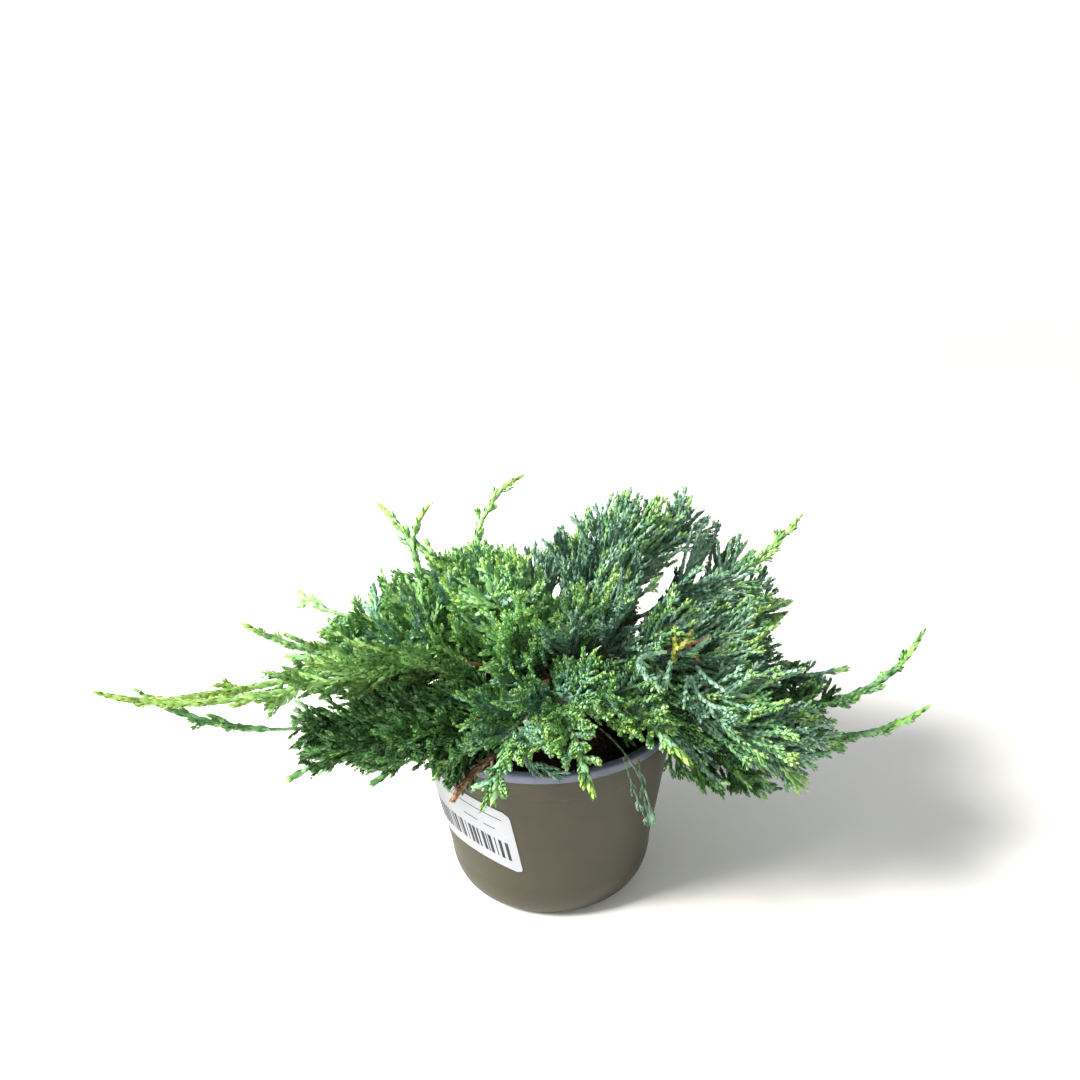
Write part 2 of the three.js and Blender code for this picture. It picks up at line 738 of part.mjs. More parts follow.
// Foliage of one shoot: twigs left and right of the stem, each with leaf sprays left, right
// and at its end
function growMass(shoot, seed) {
  const random = seededRandom(seed);
  const habit = habits[shoot.habit];
  const curve = course(shoot);
  const solids = [stems.get(shoot.name)];
  const vary = (spread) => 1 + spread * (2 * random() - 1);

  const loose = habit.loose === true;

  function addLeaf(root, along, length, width, beyond) {
    const free = fitted(root, along, length, width / 2, shoot.name, beyond);
    if (free > 0) {
      solids.push(solidOf(leafSpray(root, along, free, width)));
      record([root, root.clone().addScaledVector(along, free)], [width / 2, width / 2], shoot.name);
    }
  }

  for (let index = 0; index < habit.twigs; index += 1) {
    const share = (index + 0.5) / habit.twigs;
    const at = THREE.MathUtils.lerp(shoot.enter + 0.04, shoot.last, share);
    const hand = index % 2 === 0 ? 1 : -1;
    const onward = curve.getTangent(at);
    const root = curve.getPoint(at);
    const profile = 0.6 + 0.4 * Math.sin(Math.PI * Math.min(1, share * 1.3)) - 0.35 * share * share;
    const side = hand * habit.side * vary(0.35);
    const along = sideways(onward, habit.forward * vary(0.2), side, habit.rise * vary(0.3));
    const length = fitted(root, along, habit.twig * profile * vary(0.15), twigRadius, shoot.name, loose);
    if (length > 0) {
      const tip = root.clone().addScaledVector(along, length);
      const radii = [twigRadius, twigTipRadius];
      solids.push(solidOf(limb([root, tip], radii, stemSides)));
      record([root, tip], radii, shoot.name);
      const outward = along.clone().addScaledVector(onward, habit.bend).normalize();
      addLeaf(root.clone().lerp(tip, 0.75), outward, habit.leaf * vary(0.2), habit.width, loose);
      for (let leaf = 1; leaf < habit.leaves; leaf += 1) {
        const foot = root.clone().addScaledVector(along, length * (leaf / habit.leaves));
        const turned = sideways(outward, 0.8, (leaf % 2 === 0 ? 0.55 : -0.55) * vary(0.3), 0.3 * vary(0.5));
        addLeaf(foot, turned, habit.leaf * vary(0.2), habit.width, loose);
      }
    }
  }

  for (let leaf = 0; leaf < leaderLeaves; leaf += 1) {
    const at = THREE.MathUtils.lerp(shoot.last, leaderEnd, (leaf + 0.5) / leaderLeaves);
    const side = leaf % 2 === 0 ? leaderSide : -leaderSide;
    const turned = sideways(curve.getTangent(at), 1, side, leaderSide / 2);
    addLeaf(curve.getPoint(at), turned, leaderLeaf * vary(0.2), leaderWidth, true);
  }
  const tip = curve.getPoint(1);
  const onward = curve.getTangent(1);
  addLeaf(tip.clone().addScaledVector(onward, -2 * rootSink), onward, tipLeaf, leaderWidth, true);
  return joined(solids);
}

shoots.forEach((shoot, index) => {
  addPiece(shoot.name, geometryOf(growMass(shoot, 101 + index)), shoot.habit);
});

export default group;
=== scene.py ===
import math

import bmesh
import bpy
import numpy as np
from mathutils import Matrix, Vector, noise


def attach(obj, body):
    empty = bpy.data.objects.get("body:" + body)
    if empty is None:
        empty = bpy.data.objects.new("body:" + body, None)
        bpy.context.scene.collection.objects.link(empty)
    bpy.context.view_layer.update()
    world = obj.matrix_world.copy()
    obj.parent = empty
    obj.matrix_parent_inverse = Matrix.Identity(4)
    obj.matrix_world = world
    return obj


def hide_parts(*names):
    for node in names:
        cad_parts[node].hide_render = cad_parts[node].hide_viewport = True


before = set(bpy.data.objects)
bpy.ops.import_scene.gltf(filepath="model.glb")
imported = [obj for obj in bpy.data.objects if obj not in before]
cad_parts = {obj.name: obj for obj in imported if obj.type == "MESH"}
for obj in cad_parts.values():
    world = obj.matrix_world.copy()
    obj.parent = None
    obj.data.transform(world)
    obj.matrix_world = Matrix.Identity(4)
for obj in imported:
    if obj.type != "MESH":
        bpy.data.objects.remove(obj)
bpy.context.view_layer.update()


# Viewpoint
# The picture was taken by hand, half a metre in front of the pot and about 35 cm above its foot,
# looking down on it. The lens sees a width equal to the distance it stands away.
camera_place = Vector((-0.0069, -0.4872, 0.3513))
camera_tilt = math.radians(19.22)
camera_turn = math.radians(-0.82)
camera_roll = math.radians(-2.15)

turn = Matrix.Rotation(camera_turn, 3, "Z")
sight = turn @ Vector((0, math.cos(camera_tilt), -math.sin(camera_tilt)))
level = turn @ Vector((1, 0, 0))
upright = level.cross(sight)
right = level * math.cos(camera_roll) + upright * math.sin(camera_roll)
above = upright * math.cos(camera_roll) - level * math.sin(camera_roll)
camera = bpy.data.objects.new("camera", bpy.data.cameras.new("camera"))
camera.data.lens = 36
camera.data.sensor_width = 36
camera.data.clip_start = 0.01
camera_axes = Matrix((right, above, -sight)).transposed().to_4x4()
camera.matrix_world = Matrix.Translation(camera_place) @ camera_axes
bpy.context.scene.collection.objects.link(camera)
bpy.context.scene.camera = camera
bpy.context.scene.view_settings.view_transform = "Standard"


# Floor and daylight
# A matt white studio bowl: a flat floor that sweeps up all round, under an even white sky,
# with one large soft light high on the left and a little in front.
mm = 0.001
floor_profile = [(0, -0.2), (1600, -0.2), (2100, 60), (2500, 300), (2750, 800), (2800, 1600)]
key_place = Vector((-1.5, -0.55, 1.4))
key_aim = Vector((0, 0, 0.11))
key_size = 0.8
key_watts = 128
sky_strength = 0.44


def linear(hex_colour):
    """An sRGB hex colour as linear RGBA."""
    channels = [int(hex_colour[place:place + 2], 16) / 255 for place in (1, 3, 5)]
    return [c / 12.92 if c <= 0.04045 else ((c + 0.055) / 1.055) ** 2.4 for c in channels] + [1]


def finish(name, sockets):
    """A material with one shader, whose sockets are set directly."""
    material = bpy.data.materials.new(name)
    material.use_nodes = True
    shader = material.node_tree.nodes["Principled BSDF"]
    for socket, value in sockets.items():
        shader.inputs[socket].default_value = value
    return material


def mesh_of(name, points, faces, smooth=True, weld=False):
    """A mesh from points in millimetres and groups of faces with the same number of corners."""
    mesh = bpy.data.meshes.new(name)
    points = np.asarray(points, dtype=np.float32) * mm
    faces = [np.asarray(group, dtype=np.int32) for group in faces]
    corners = np.concatenate([group.ravel() for group in faces])
    sizes = np.concatenate([np.full(len(group), group.shape[1], dtype=np.int32) for group in faces])
    starts = np.concatenate([[0], np.cumsum(sizes)[:-1]]).astype(np.int32)
    mesh.vertices.add(len(points))
    mesh.vertices.foreach_set("co", points.ravel())
    mesh.loops.add(len(corners))
    mesh.loops.foreach_set("vertex_index", corners)
    mesh.polygons.add(len(sizes))
    mesh.polygons.foreach_set("loop_start", starts)
    mesh.polygons.foreach_set("use_smooth", np.full(len(sizes), smooth))
    mesh.update(calc_edges=True)
    if weld:
        shape = bmesh.new()
        shape.from_mesh(mesh)
        bmesh.ops.remove_doubles(shape, verts=shape.verts, dist=0.01 * mm)
        bmesh.ops.recalc_face_normals(shape, faces=shape.faces)
        shape.to_mesh(mesh)
        shape.free()
    mesh.validate()
    return mesh


def ring_faces(rings, sides, closed=False):
    """Quads between rings of points; closed joins the last ring to the first."""
    ring, side = np.meshgrid(np.arange(rings if closed else rings - 1), np.arange(sides), indexing="ij")
    here = ring * sides
    after = (ring + 1) % rings * sides
    beside = (side + 1) % sides
    return np.stack([here + side, here + beside, after + beside, after + side], -1).reshape(-1, 4)


def turned(profile, sides, closed=False):
    """Points and faces of a profile of radius and height, turned round the pot's axis."""
    profile = np.array(profile, dtype=float)
    angle = np.linspace(0, 2 * math.pi, sides, endpoint=False)
    circle = np.stack([np.cos(angle), np.sin(angle)], axis=-1)
    flat = profile[:, None, :1] * circle[None]
    height = np.broadcast_to(profile[:, None, 1:], (len(profile), sides, 1))
    points = np.concatenate([flat, height], axis=-1).reshape(-1, 3)
    return points, [ring_faces(len(profile), sides, closed)]


# Emulsion paint on a studio bowl: dead matt and even, so the plant alone draws the eye.
floor_paint = finish("matt_white_floor_paint", {
    "Base Color": linear("#f3f3f1"), "Roughness": 0.9, "Specular IOR Level": 0.2})
floor = bpy.data.objects.new("floor", mesh_of("floor", *turned(floor_profile, 96), weld=True))
floor.data.materials.append(floor_paint)
bpy.context.scene.collection.objects.link(floor)

sky = bpy.data.worlds.new("white_sky")
sky.use_nodes = True
sky.node_tree.nodes["Background"].inputs["Color"].default_value = linear("#f4f8ff")
sky.node_tree.nodes["Background"].inputs["Strength"].default_value = sky_strength
bpy.context.scene.world = sky

key_light = bpy.data.objects.new("key_light", bpy.data.lights.new("key_light", "AREA"))
key_light.data.size = key_size
key_light.data.energy = key_watts
key_light.data.color = linear("#fffaf2")[:3]
key_light.location = key_place
key_light.rotation_euler = (key_aim - key_place).to_track_quat("-Z", "Y").to_euler()
bpy.context.scene.collection.objects.link(key_light)


# Pot
# A 13 cm nursery pot, injection moulded in one shot from polypropylene: a thin tapering wall
# with a stepped collar, a rounded heel and eight drain slots cut through the foot.
rim_radius = 65
rim_top = 91.5
rim_band = 4
collar_radius = 64
step_height = 76.5
wall_top_radius = 62
heel_height = 22
heel_radius = 51.7
foot_radius = 38.5
wall = 1.4
base_thickness = 2.6
pot_sides = 192
drain_slots = 8
drain_size = (13, 11, 6.8)
drain_corner = 1.2


def wall_radius(height):
    """Outer radius of the plain wall between the heel and the step."""
    share = (height - heel_height) / (step_height - heel_height)
    return heel_radius + (wall_top_radius - heel_radius) * share


def heel(inset, base, steps=14):
    """The rounded heel, from the foot up to the wall."""
    quarter = [math.pi / 2 * step / steps for step in range(steps + 1)]
    return [
        (foot_radius - inset + (heel_radius - foot_radius) * math.sin(angle),
         base + (heel_height - base) * (1 - math.cos(angle)))
        for angle in quarter
    ]


def add_node(material, kind, inputs, **settings):
    """A node with its settings; each input is a value or another node's output."""
    node = material.node_tree.nodes.new(kind)
    for name, value in settings.items():
        setattr(node, name, value)
    for name, value in inputs.items():
        if isinstance(value, bpy.types.NodeSocket):
            material.node_tree.links.new(value, node.inputs[name])
        else:
            node.inputs[name].default_value = value
    return node


def wire(material, output, socket):
    """Link an output to a socket of the material's shader."""
    shader = material.node_tree.nodes["Principled BSDF"]
    material.node_tree.links.new(output, shader.inputs[socket])


def mottle(material, size, pattern, tones, bump=None):
    """Patches of a size in millimetres that run through tones, and a bump of strength and depth."""
    spots = add_node(material, "ShaderNodeTexCoord", {})
    patches = add_node(material, "ShaderNodeTexNoise", {
        "Vector": spots.outputs["Object"], "Scale": 1 / (size * mm), **pattern})
    ramp = add_node(material, "ShaderNodeValToRGB", {"Fac": patches.outputs["Fac"]})
    stops = ramp.color_ramp.elements
    for stop, (place, colour) in zip(stops, (tones[0], tones[-1])):
        stop.position = place
        stop.color = linear(colour)
    for place, colour in tones[1:-1]:
        stops.new(place).color = linear(colour)
    wire(material, ramp.outputs["Color"], "Base Color")
    if bump:
        relief = add_node(material, "ShaderNodeBump", {
            "Height": patches.outputs["Fac"], "Strength": bump[0], "Distance": bump[1] * mm})
        wire(material, relief.outputs["Normal"], "Normal")
    return ramp.outputs["Color"]


def dress(piece_name, points, faces, material, slot, nodes, smooth=True, weld=False):
    """Put a mesh in the scene as a piece on the plant's one body, for the nodes it stands for."""
    piece = bpy.data.objects.new(piece_name, mesh_of(piece_name, points, faces, smooth, weld))
    piece.data.materials.append(material)
    bpy.context.scene.collection.objects.link(piece)
    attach(piece, "root")
    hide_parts(*nodes)
    return piece


# Matt moulded plastic, taupe with a trace of olive: a fine eggshell grain from the mould, faint
# cloudy scuffs from stacking, and a few specks of peat splashed on.
pot_plastic = finish("moulded_taupe_polypropylene", {
    "IOR": 1.49, "Roughness": 0.48, "Specular IOR Level": 0.32})
taupe = mottle(pot_plastic, 22, {"Detail": 5, "Roughness": 0.6}, [(0, "#343125"), (1, "#403d30")])
place = add_node(pot_plastic, "ShaderNodeTexCoord", {})
specks = add_node(pot_plastic, "ShaderNodeTexVoronoi", {
    "Vector": place.outputs["Object"], "Scale": 1 / (11 * mm), "Randomness": 1})
speck_edge = add_node(pot_plastic, "ShaderNodeMapRange", {
    "Value": specks.outputs["Distance"], "From Min": 0.055, "From Max": 0.035})
speck_choice = add_node(pot_plastic, "ShaderNodeMath", {
    0: specks.outputs["Color"], 1: 0.62}, operation="GREATER_THAN")
speck = add_node(pot_plastic, "ShaderNodeMath", {
    0: speck_edge.outputs["Result"], 1: speck_choice.outputs["Value"]}, operation="MULTIPLY")
splashed = add_node(pot_plastic, "ShaderNodeMix", {
    "Factor": speck.outputs["Value"], "A": taupe, "B": linear("#3b3126")}, data_type="RGBA")
wire(pot_plastic, splashed.outputs[2], "Base Color")
grain = add_node(pot_plastic, "ShaderNodeTexNoise", {
    "Vector": place.outputs["Object"], "Scale": 1 / (0.9 * mm), "Detail": 2})
grain_bump = add_node(pot_plastic, "ShaderNodeBump", {
    "Height": grain.outputs["Fac"], "Strength": 0.12, "Distance": 0.1 * mm})
wire(pot_plastic, grain_bump.outputs["Normal"], "Normal")

pot_profile = [(0, 0.8), (foot_radius - 5, 0.8), (foot_radius - 4.2, 0.0)]
pot_profile += heel(0, 0)
pot_profile += [
    (wall_top_radius - 0.1, step_height - 0.7),
    (wall_top_radius, step_height),
    (wall_top_radius + 0.25, step_height + 0.25),
    (wall_top_radius + 0.8, step_height + 0.8),
    (wall_top_radius + 0.95, step_height + 1.6),
    (collar_radius, rim_top - rim_band - 0.4),
    (collar_radius, rim_top - rim_band + 1),
    (collar_radius - 1.2, rim_top - rim_band + 1),
    (wall_top_radius - wall + 0.8, step_height + 1.6),
    (wall_top_radius - wall, step_height),
]
pot_profile += reversed(heel(wall, base_thickness))
pot_profile += [(0, base_thickness)]
pot = dress("pot_wall", *turned(pot_profile, pot_sides), pot_plastic, "pot_plastic", ["pot"], weld=True)

cutter_shape = bmesh.new()
for slot in range(drain_slots):
    angle = 2 * math.pi * (slot + 0.5) / drain_slots
    outwards = (foot_radius - 4 + drain_size[0] / 2) * mm
    block = bmesh.ops.create_cube(cutter_shape, size=mm)["verts"]
    bmesh.ops.scale(cutter_shape, vec=drain_size, verts=block)
    bmesh.ops.translate(cutter_shape, vec=(outwards, 0, 0), verts=block)
    bmesh.ops.rotate(cutter_shape, matrix=Matrix.Rotation(angle, 3, "Z"), verts=block)
bmesh.ops.bevel(cutter_shape, geom=cutter_shape.edges[:], offset=drain_corner * mm, segments=4,
                affect="EDGES", profile=0.5)
cutter = bpy.data.objects.new("drain_cutter", bpy.data.meshes.new("drain_cutter"))
cutter_shape.to_mesh(cutter.data)
cutter_shape.free()
bpy.context.scene.collection.objects.link(cutter)
cut = pot.modifiers.new("drain_slots", "BOOLEAN")
cut.operation = "DIFFERENCE"
cut.object = cutter
cut.solver = "EXACT"
bpy.context.view_layer.update()
pot.data = bpy.data.meshes.new_from_object(pot.evaluated_get(bpy.context.evaluated_depsgraph_get()))
pot.modifiers.clear()
bpy.data.objects.remove(cutter)
pot.data.set_sharp_from_angle(angle=math.radians(32))


# Rim
# The pot's stiff upper edge: a shallow outside band with a flat lip folded inwards on top.
# It is the same shot of plastic, but smoother, and its blue grey is a painted reflection of the sky.
lip_width = 5.5
rim_profile = [(rim_radius + outwards, rim_top + height) for outwards, height in (
    (-1.3, -4.5), (-0.35, -4), (0, -3.6), (0, -1.1), (-0.15, -0.55), (-0.5, -0.15), (-1.1, 0),
    (-2.6, -0.05), (-2.9, -0.35), (-3.3, -0.4), (0.5 - lip_width, -0.6), (-lip_width, -1.1),
    (0.3 - lip_width, -1.8), (-3.2, -2), (-2.3, -3))]

# Handled plastic: a soft sheen with smudges and shallow dents, in a blue grey that is a painted
# reflection of the sky.
rim_plastic_painted_reflection = finish("rim_plastic_painted_sky_reflection", {"IOR": 1.49, "Roughness": 0.33})
mottle(rim_plastic_painted_reflection, 9, {"Detail": 6, "Roughness": 0.65}, [(0, "#4d5263"), (1, "#6a7086")], (0.15, 0.2))
rim = dress("pot_rim", *turned(rim_profile, pot_sides, closed=True), rim_plastic_painted_reflection, "pot_plastic",
            ["pot"], weld=True)
rim.data.set_sharp_from_angle(angle=math.radians(40))


# Sticker
# A white paper sticker with rounded corners, stuck a little askew round the left of the wall.
# Its print is kept generic: thin grey rules above and a row of plain bars below.
sticker_start = 17.5
sticker_end = 82
sticker_low = 30.5
sticker_high = 67.3
sticker_rise = 8
sticker_rise_over = 38
sticker_lean = 0.1
sticker_corner = 3
sticker_gap = 0.15
paper_thickness = 0.2
ink_thickness = 0.03
bar_low = 36.5
bar_high = 47.5
rules = ((61.3, 22, 55), (53.6, 27, 33), (53.6, 36, 44))
rule_width = 0.5


def on_sticker(degrees_left, height, gap):
    """A point of the sticker, by its angle from the front towards the left; it climbs that way."""
    lean = sticker_lean * (height - (sticker_low + sticker_high) / 2)
    heading = math.radians(270 - degrees_left - lean)
    climbed = min(1, (degrees_left - sticker_start) / sticker_rise_over)
    height += sticker_rise * math.sin(math.pi / 2 * climbed)
    radius = wall_radius(height) + gap
    return (radius * math.cos(heading), radius * math.sin(heading), height)


def patch_on_wall(low, high, start, end, gap, thickness, corner, rows, columns):
    """Points and faces of a thin sheet bent round the wall, with rounded corners."""
    points = []
    for lift in (gap, gap + thickness):
        for row in range(rows + 1):
            height = low + (high - low) * row / rows
            nearest_edge = min(height - low, high - height)
            inset = 0
            if nearest_edge < corner:
                inset = corner - math.sqrt(corner ** 2 - (corner - nearest_edge) ** 2)
            turn_in = math.degrees(inset / wall_radius(height))
            for column in range(columns + 1):
                across = (end - start - 2 * turn_in) * (column / columns)
                points.append(on_sticker(start + turn_in + across, height, lift))
    wide = columns + 1
    sheet = (rows + 1) * wide
    faces = []
    for row in range(rows):
        for here in range(row * wide, row * wide + columns):
            over = here + wide
            faces.append((here, here + 1, over + 1, over))
            faces.append((here + sheet, over + sheet, over + 1 + sheet, here + 1 + sheet))
    border = list(range(wide))
    border += [row * wide + columns for row in range(1, rows + 1)]
    border += [rows * wide + column for column in range(columns - 1, -1, -1)]
    border += [row * wide for row in range(rows - 1, 0, -1)]
    for here, after in zip(border, border[1:] + border[:1]):
        faces.append((here, here + sheet, after + sheet, after))
    return points, faces


# Uncoated white paper: matt, a touch blue, with a faint fibre mottle.
sticker_paper = finish("white_sticker_paper", {"Roughness": 0.65, "Specular IOR Level": 0.3})
mottle(sticker_paper, 1.6, {"Detail": 6}, [(0, "#999da6"), (1, "#a8abb2")])
sheet_points, sheet_faces = patch_on_wall(
    sticker_low, sticker_high, sticker_start, sticker_end, sticker_gap, paper_thickness,
    sticker_corner, rows=24, columns=56)
sticker = dress("sticker_sheet", sheet_points, [sheet_faces], sticker_paper, "sticker_paper",
                ["sticker"], weld=True)
sticker.data.set_sharp_from_angle(angle=math.radians(40))

# Black ink, slightly grey where the paper shows through.
print_ink = finish("thermal_print_ink", {"Roughness": 0.6, "Specular IOR Level": 0.3})
mottle(print_ink, 0.7, {"Detail": 2}, [(0, "#131417"), (1, "#3a3d43")])
random = np.random.default_rng(13)
print_marks = []
bar_at = sticker_start + 4.5
while bar_at < sticker_end - 6:
    bar_width = random.choice([0.6, 0.6, 1.1, 1.7])
    print_marks.append((bar_low, bar_high, bar_at, bar_at + bar_width))
    bar_at += bar_width + random.choice([0.7, 0.9, 1.6])
print_marks += [(height, height + rule_width, start, end) for height, start, end in rules]
ink_points = []
ink_faces = []
for low, high, start, end in print_marks:
    mark_points, mark_faces = patch_on_wall(
        low, high, start, end, sticker_gap + paper_thickness + 0.02, ink_thickness,
        corner=0, rows=1, columns=max(1, round(end - start)))
    ink_faces += [tuple(index + len(ink_points) for index in face) for face in mark_faces]
    ink_points += mark_points
dress("sticker_print", ink_points, [ink_faces], print_ink, "sticker_paper", ["sticker"], smooth=False)


# Soil
# Dark peat compost, level round the trunk and a little lower at the wall, loose on top:
# crumbs of peat and a few shreds of bark lie on it.
soil_level = 80
soil_floor = 60
soil_dish = 1.5
dish_radius = 30
soil_rings = 46
soil_gap = 0.4
soil_sides = 120
crumb_count = 1500
shred_every = 14


def soil_height(x, y):
    """Height of the compost's lumpy surface."""
    reach = math.hypot(x, y)
    dish = soil_dish * min(1, max(0, (reach - dish_radius) / (wall_top_radius - wall - dish_radius)))
    lumps = noise.fractal(Vector((x / 9, y / 9, 3.1)), 0.6, 2.1, 5)
    return soil_level - dish - 0.9 + 0.9 * lumps


# Damp peat: nearly black brown, rough, with paler crumbs where it has dried.
peat = finish("damp_peat_compost", {"Roughness": 0.95, "Specular IOR Level": 0.2})
mottle(peat, 2.2, {"Detail": 8, "Roughness": 0.7}, [(0.35, "#17110c"), (0.75, "#4a3524")], (0.6, 0.8))

soil_edge = wall_radius(soil_level) - wall - soil_gap
soil_profile = [(0, soil_floor), (wall_radius(soil_floor) - wall - soil_gap, soil_floor)]
soil_profile += [(soil_edge * (1 - ring / soil_rings), soil_level) for ring in range(soil_rings)]
soil_profile += [(0, soil_level)]
soil_points, soil_faces = turned(soil_profile, soil_sides)
for point in soil_points:
    if point[2] > soil_floor:
        point[2] = soil_height(point[0], point[1])
dress("soil_surface", soil_points, soil_faces, peat, "potting_soil", ["soil"], weld=True)

crumb_points = []
crumb_faces = []
octahedron = np.array([(1, 0, 0), (0, 1, 0), (-1, 0, 0), (0, -1, 0), (0, 0, 1), (0, 0, -1)], dtype=float)
octahedron_faces = np.array([
    (0, 1, 4), (1, 2, 4), (2, 3, 4), (3, 0, 4), (1, 0, 5), (2, 1, 5), (3, 2, 5), (0, 3, 5)])
for crumb in range(crumb_count):
    reach = (soil_edge - 1.5) * math.sqrt(random.random())
    heading = 2 * math.pi * random.random()
    x = reach * math.cos(heading)
    y = reach * math.sin(heading)
    size = 0.45 + 1.1 * random.random() ** 3
    shape = octahedron * size * (0.6 + 0.8 * random.random((6, 1)))
    if crumb % shred_every == 0:
        shape = shape * (3.2, 0.5, 0.4)
    spin = Matrix.Rotation(6.3 * random.random(), 3, "Z")
    spin = np.array(spin @ Matrix.Rotation(random.random() - 0.5, 3, "X"))
    crumb_faces.append(octahedron_faces + 6 * crumb)
    crumb_points.append(shape @ spin.T + (x, y, soil_height(x, y) + 0.25 * size))
dress("soil_crumbs", np.concatenate(crumb_points), crumb_faces, peat, "potting_soil", ["soil"],
      smooth=False)


# Trunk and boughs
# One short woody trunk, hidden under the crown, that leans a little and flares at the soil.
# Its boughs spread from it all round, and bear grey brown bark that comes off in thin strips.
trunk_foot = soil_level - 1.5
trunk_top = 110
trunk_radius = 5
trunk_top_radius = 4.4
trunk_rings = 60
trunk_sides = 64
flare_radius = 8.5
flare_height = 8
flare_lobes = 5
flare_depth = 0.12
trunk_lean = 0.035
limb_start = 2.5
root_radius = 1.75
enter_radius = 1.2
bough_rings = 42
bough_sides = 16
bough_past_enter = 0.02
handle = 0.38
up = np.array((0.0, 0.0, 1.0))

# Every shoot of the crown: its kind of foliage; root: height on the trunk, heading and lift there;
# tip: heading, reach and height; end: heading and lift at the tip; enter and last: the shares of
# its length where twigs begin and end; and whether a bough of its own carries it.
shoots = {
    "left_leader": ("whip", (97, 205, 55), (197, 204, 140), (188, 24), 0.24, 0.66, True),
    "left_twin_leader": ("whip", (92, 180, 38), (193, 190, 126), (199, 6), 0.26, 0.7, False),
    "left_low_leader": ("skirt", (87, 186, 18), (189, 192, 125), (177, 38), 0.27, 0.68, True),
    "left_bush": ("bush", (90, 152, 38), (179, 146, 143), (184, 38), 0.25, 0.74, True),
    "left_high_bush": ("bush", (98, 162, 46), (161, 134, 143), (110, 0), 0.25, 0.78, True),
    "left_back_leader": ("bush", (103, 140, 50), (141, 108, 181), (150, 42), 0.25, 0.66, True),
    "left_upright_leader": ("bush", (97, 130, 20), (133, 84, 182), (20, 40), 0.25, 0.66, False),
    "top_leader": ("bush", (107, 189, 14), (99, 62, 195), (6, 25), 0.22, 0.62, False),
    "left_skirt": ("skirt", (87, 224, 18), (205, 130, 91), (200, -22), 0.33, 0.95, True),
    "left_under_spray": ("skirt", (91, 236, 36), (217, 99, 90), (205, -20), 0.33, 0.95, False),
    "front_left_spray": ("spray", (87, 260, 42), (254, 90, 97), (258, -55), 0.3, 0.95, True),
    "centre_bush": ("bush", (108, 245, 76), (215, 30, 165), (200, 72), 0.2, 0.95, False),
    "front_spray": ("spray", (95, 268, 46), (278, 112, 112), (285, -35), 0.25, 0.86, True),
    "front_right_spray": ("spray", (93, 304, 42), (300, 112, 116), (310, -25), 0.3, 0.84, True),
    "hanging_twig": ("tassel", (86, 308, 42), (302, 84, 72), (300, -80), 0.45, 0.95, False),
    "centre_right_spray": ("fan", (103, 300, 56), (325, 80, 140), (340, 5), 0.25, 0.95, False),
    "top_fan": ("fan", (108, 30, 66), (52, 78, 182), (60, 62), 0.2, 0.95, False),
    "top_right_fan": ("fan", (101, 62, 50), (40, 108, 176), (45, 50), 0.22, 0.92, True),
    "back_right_leader": ("fan", (103, 20, 46), (21, 148, 169), (25, 42), 0.22, 0.72, True),
    "right_high_fan": ("fan", (98, 36, 40), (20, 142, 123), (15, 20), 0.25, 0.92, True),
    "right_fan": ("fan", (100, 356, 40), (0, 150, 106), (4, 10), 0.25, 0.95, True),
    "right_leader": ("skirt", (97, 352, 8), (358, 186, 127), (28, 54), 0.28, 0.66, True),
    "right_low_leader": ("skirt", (86, 345, 34), (354, 186, 92), (8, 32), 0.3, 0.66, True),
    "right_front_spray": ("fan", (98, 318, 42), (332, 130, 82), (338, -30), 0.3, 0.9, True),
    "right_under_spray": ("skirt", (91, 332, 42), (336, 110, 64), (342, -44), 0.35, 0.95, False),
    "back_fan": ("fan", (93, 92, 40), (93, 152, 108), (95, -5), 0.25, 0.85, True),
    "back_right_fan": ("fan", (87, 66, 34), (62, 165, 104), (60, 8), 0.28, 0.85, True),
    "back_left_fan": ("bush", (88, 115, 34), (126, 160, 106), (130, 8), 0.28, 0.85, True),
    "back_left_skirt": ("skirt", (86, 152, 24), (154, 160, 94), (156, -8), 0.32, 0.85, True),
    "back_right_skirt": ("skirt", (86, 24, 24), (34, 172, 94), (38, 4), 0.32, 0.85, True),
}


def unit(vectors):
    """Vectors scaled to length one."""
    return vectors / np.linalg.norm(vectors, axis=-1, keepdims=True)


def direction(heading, lift):
    """Unit vector from a heading and a lift in degrees."""
    heading = math.radians(heading)
    lift = math.radians(lift)
    flat = math.cos(lift)
    return np.array((math.cos(heading) * flat, math.sin(heading) * flat, math.sin(lift)))


def spot(heading, reach, height):
    """A point by its heading and reach from the pot's axis and its height."""
    return direction(heading, 0) * reach + up * height


def course(shoot):
    """The four control points of a shoot's line, from inside the trunk to its tip."""
    root, tip, end = shoot[1:4]
    foot = spot(root[1], limb_start, root[0])
    head = spot(*tip)
    reach = np.linalg.norm(head - foot) * handle
    return np.array([foot, foot + direction(*root[1:]) * reach, head - direction(*end) * reach, head])


def along_course(controls, share):
    """Points and unit tangents of a course at one share of it or at many."""
    t = np.asarray(share, dtype=float)[..., None]
    s = 1 - t
    a, b, c, d = controls
    points = s ** 3 * a + 3 * s * s * t * b + 3 * s * t * t * c + t ** 3 * d
    return points, unit(s * s * (b - a) + 2 * s * t * (c - b) + t * t * (d - c))


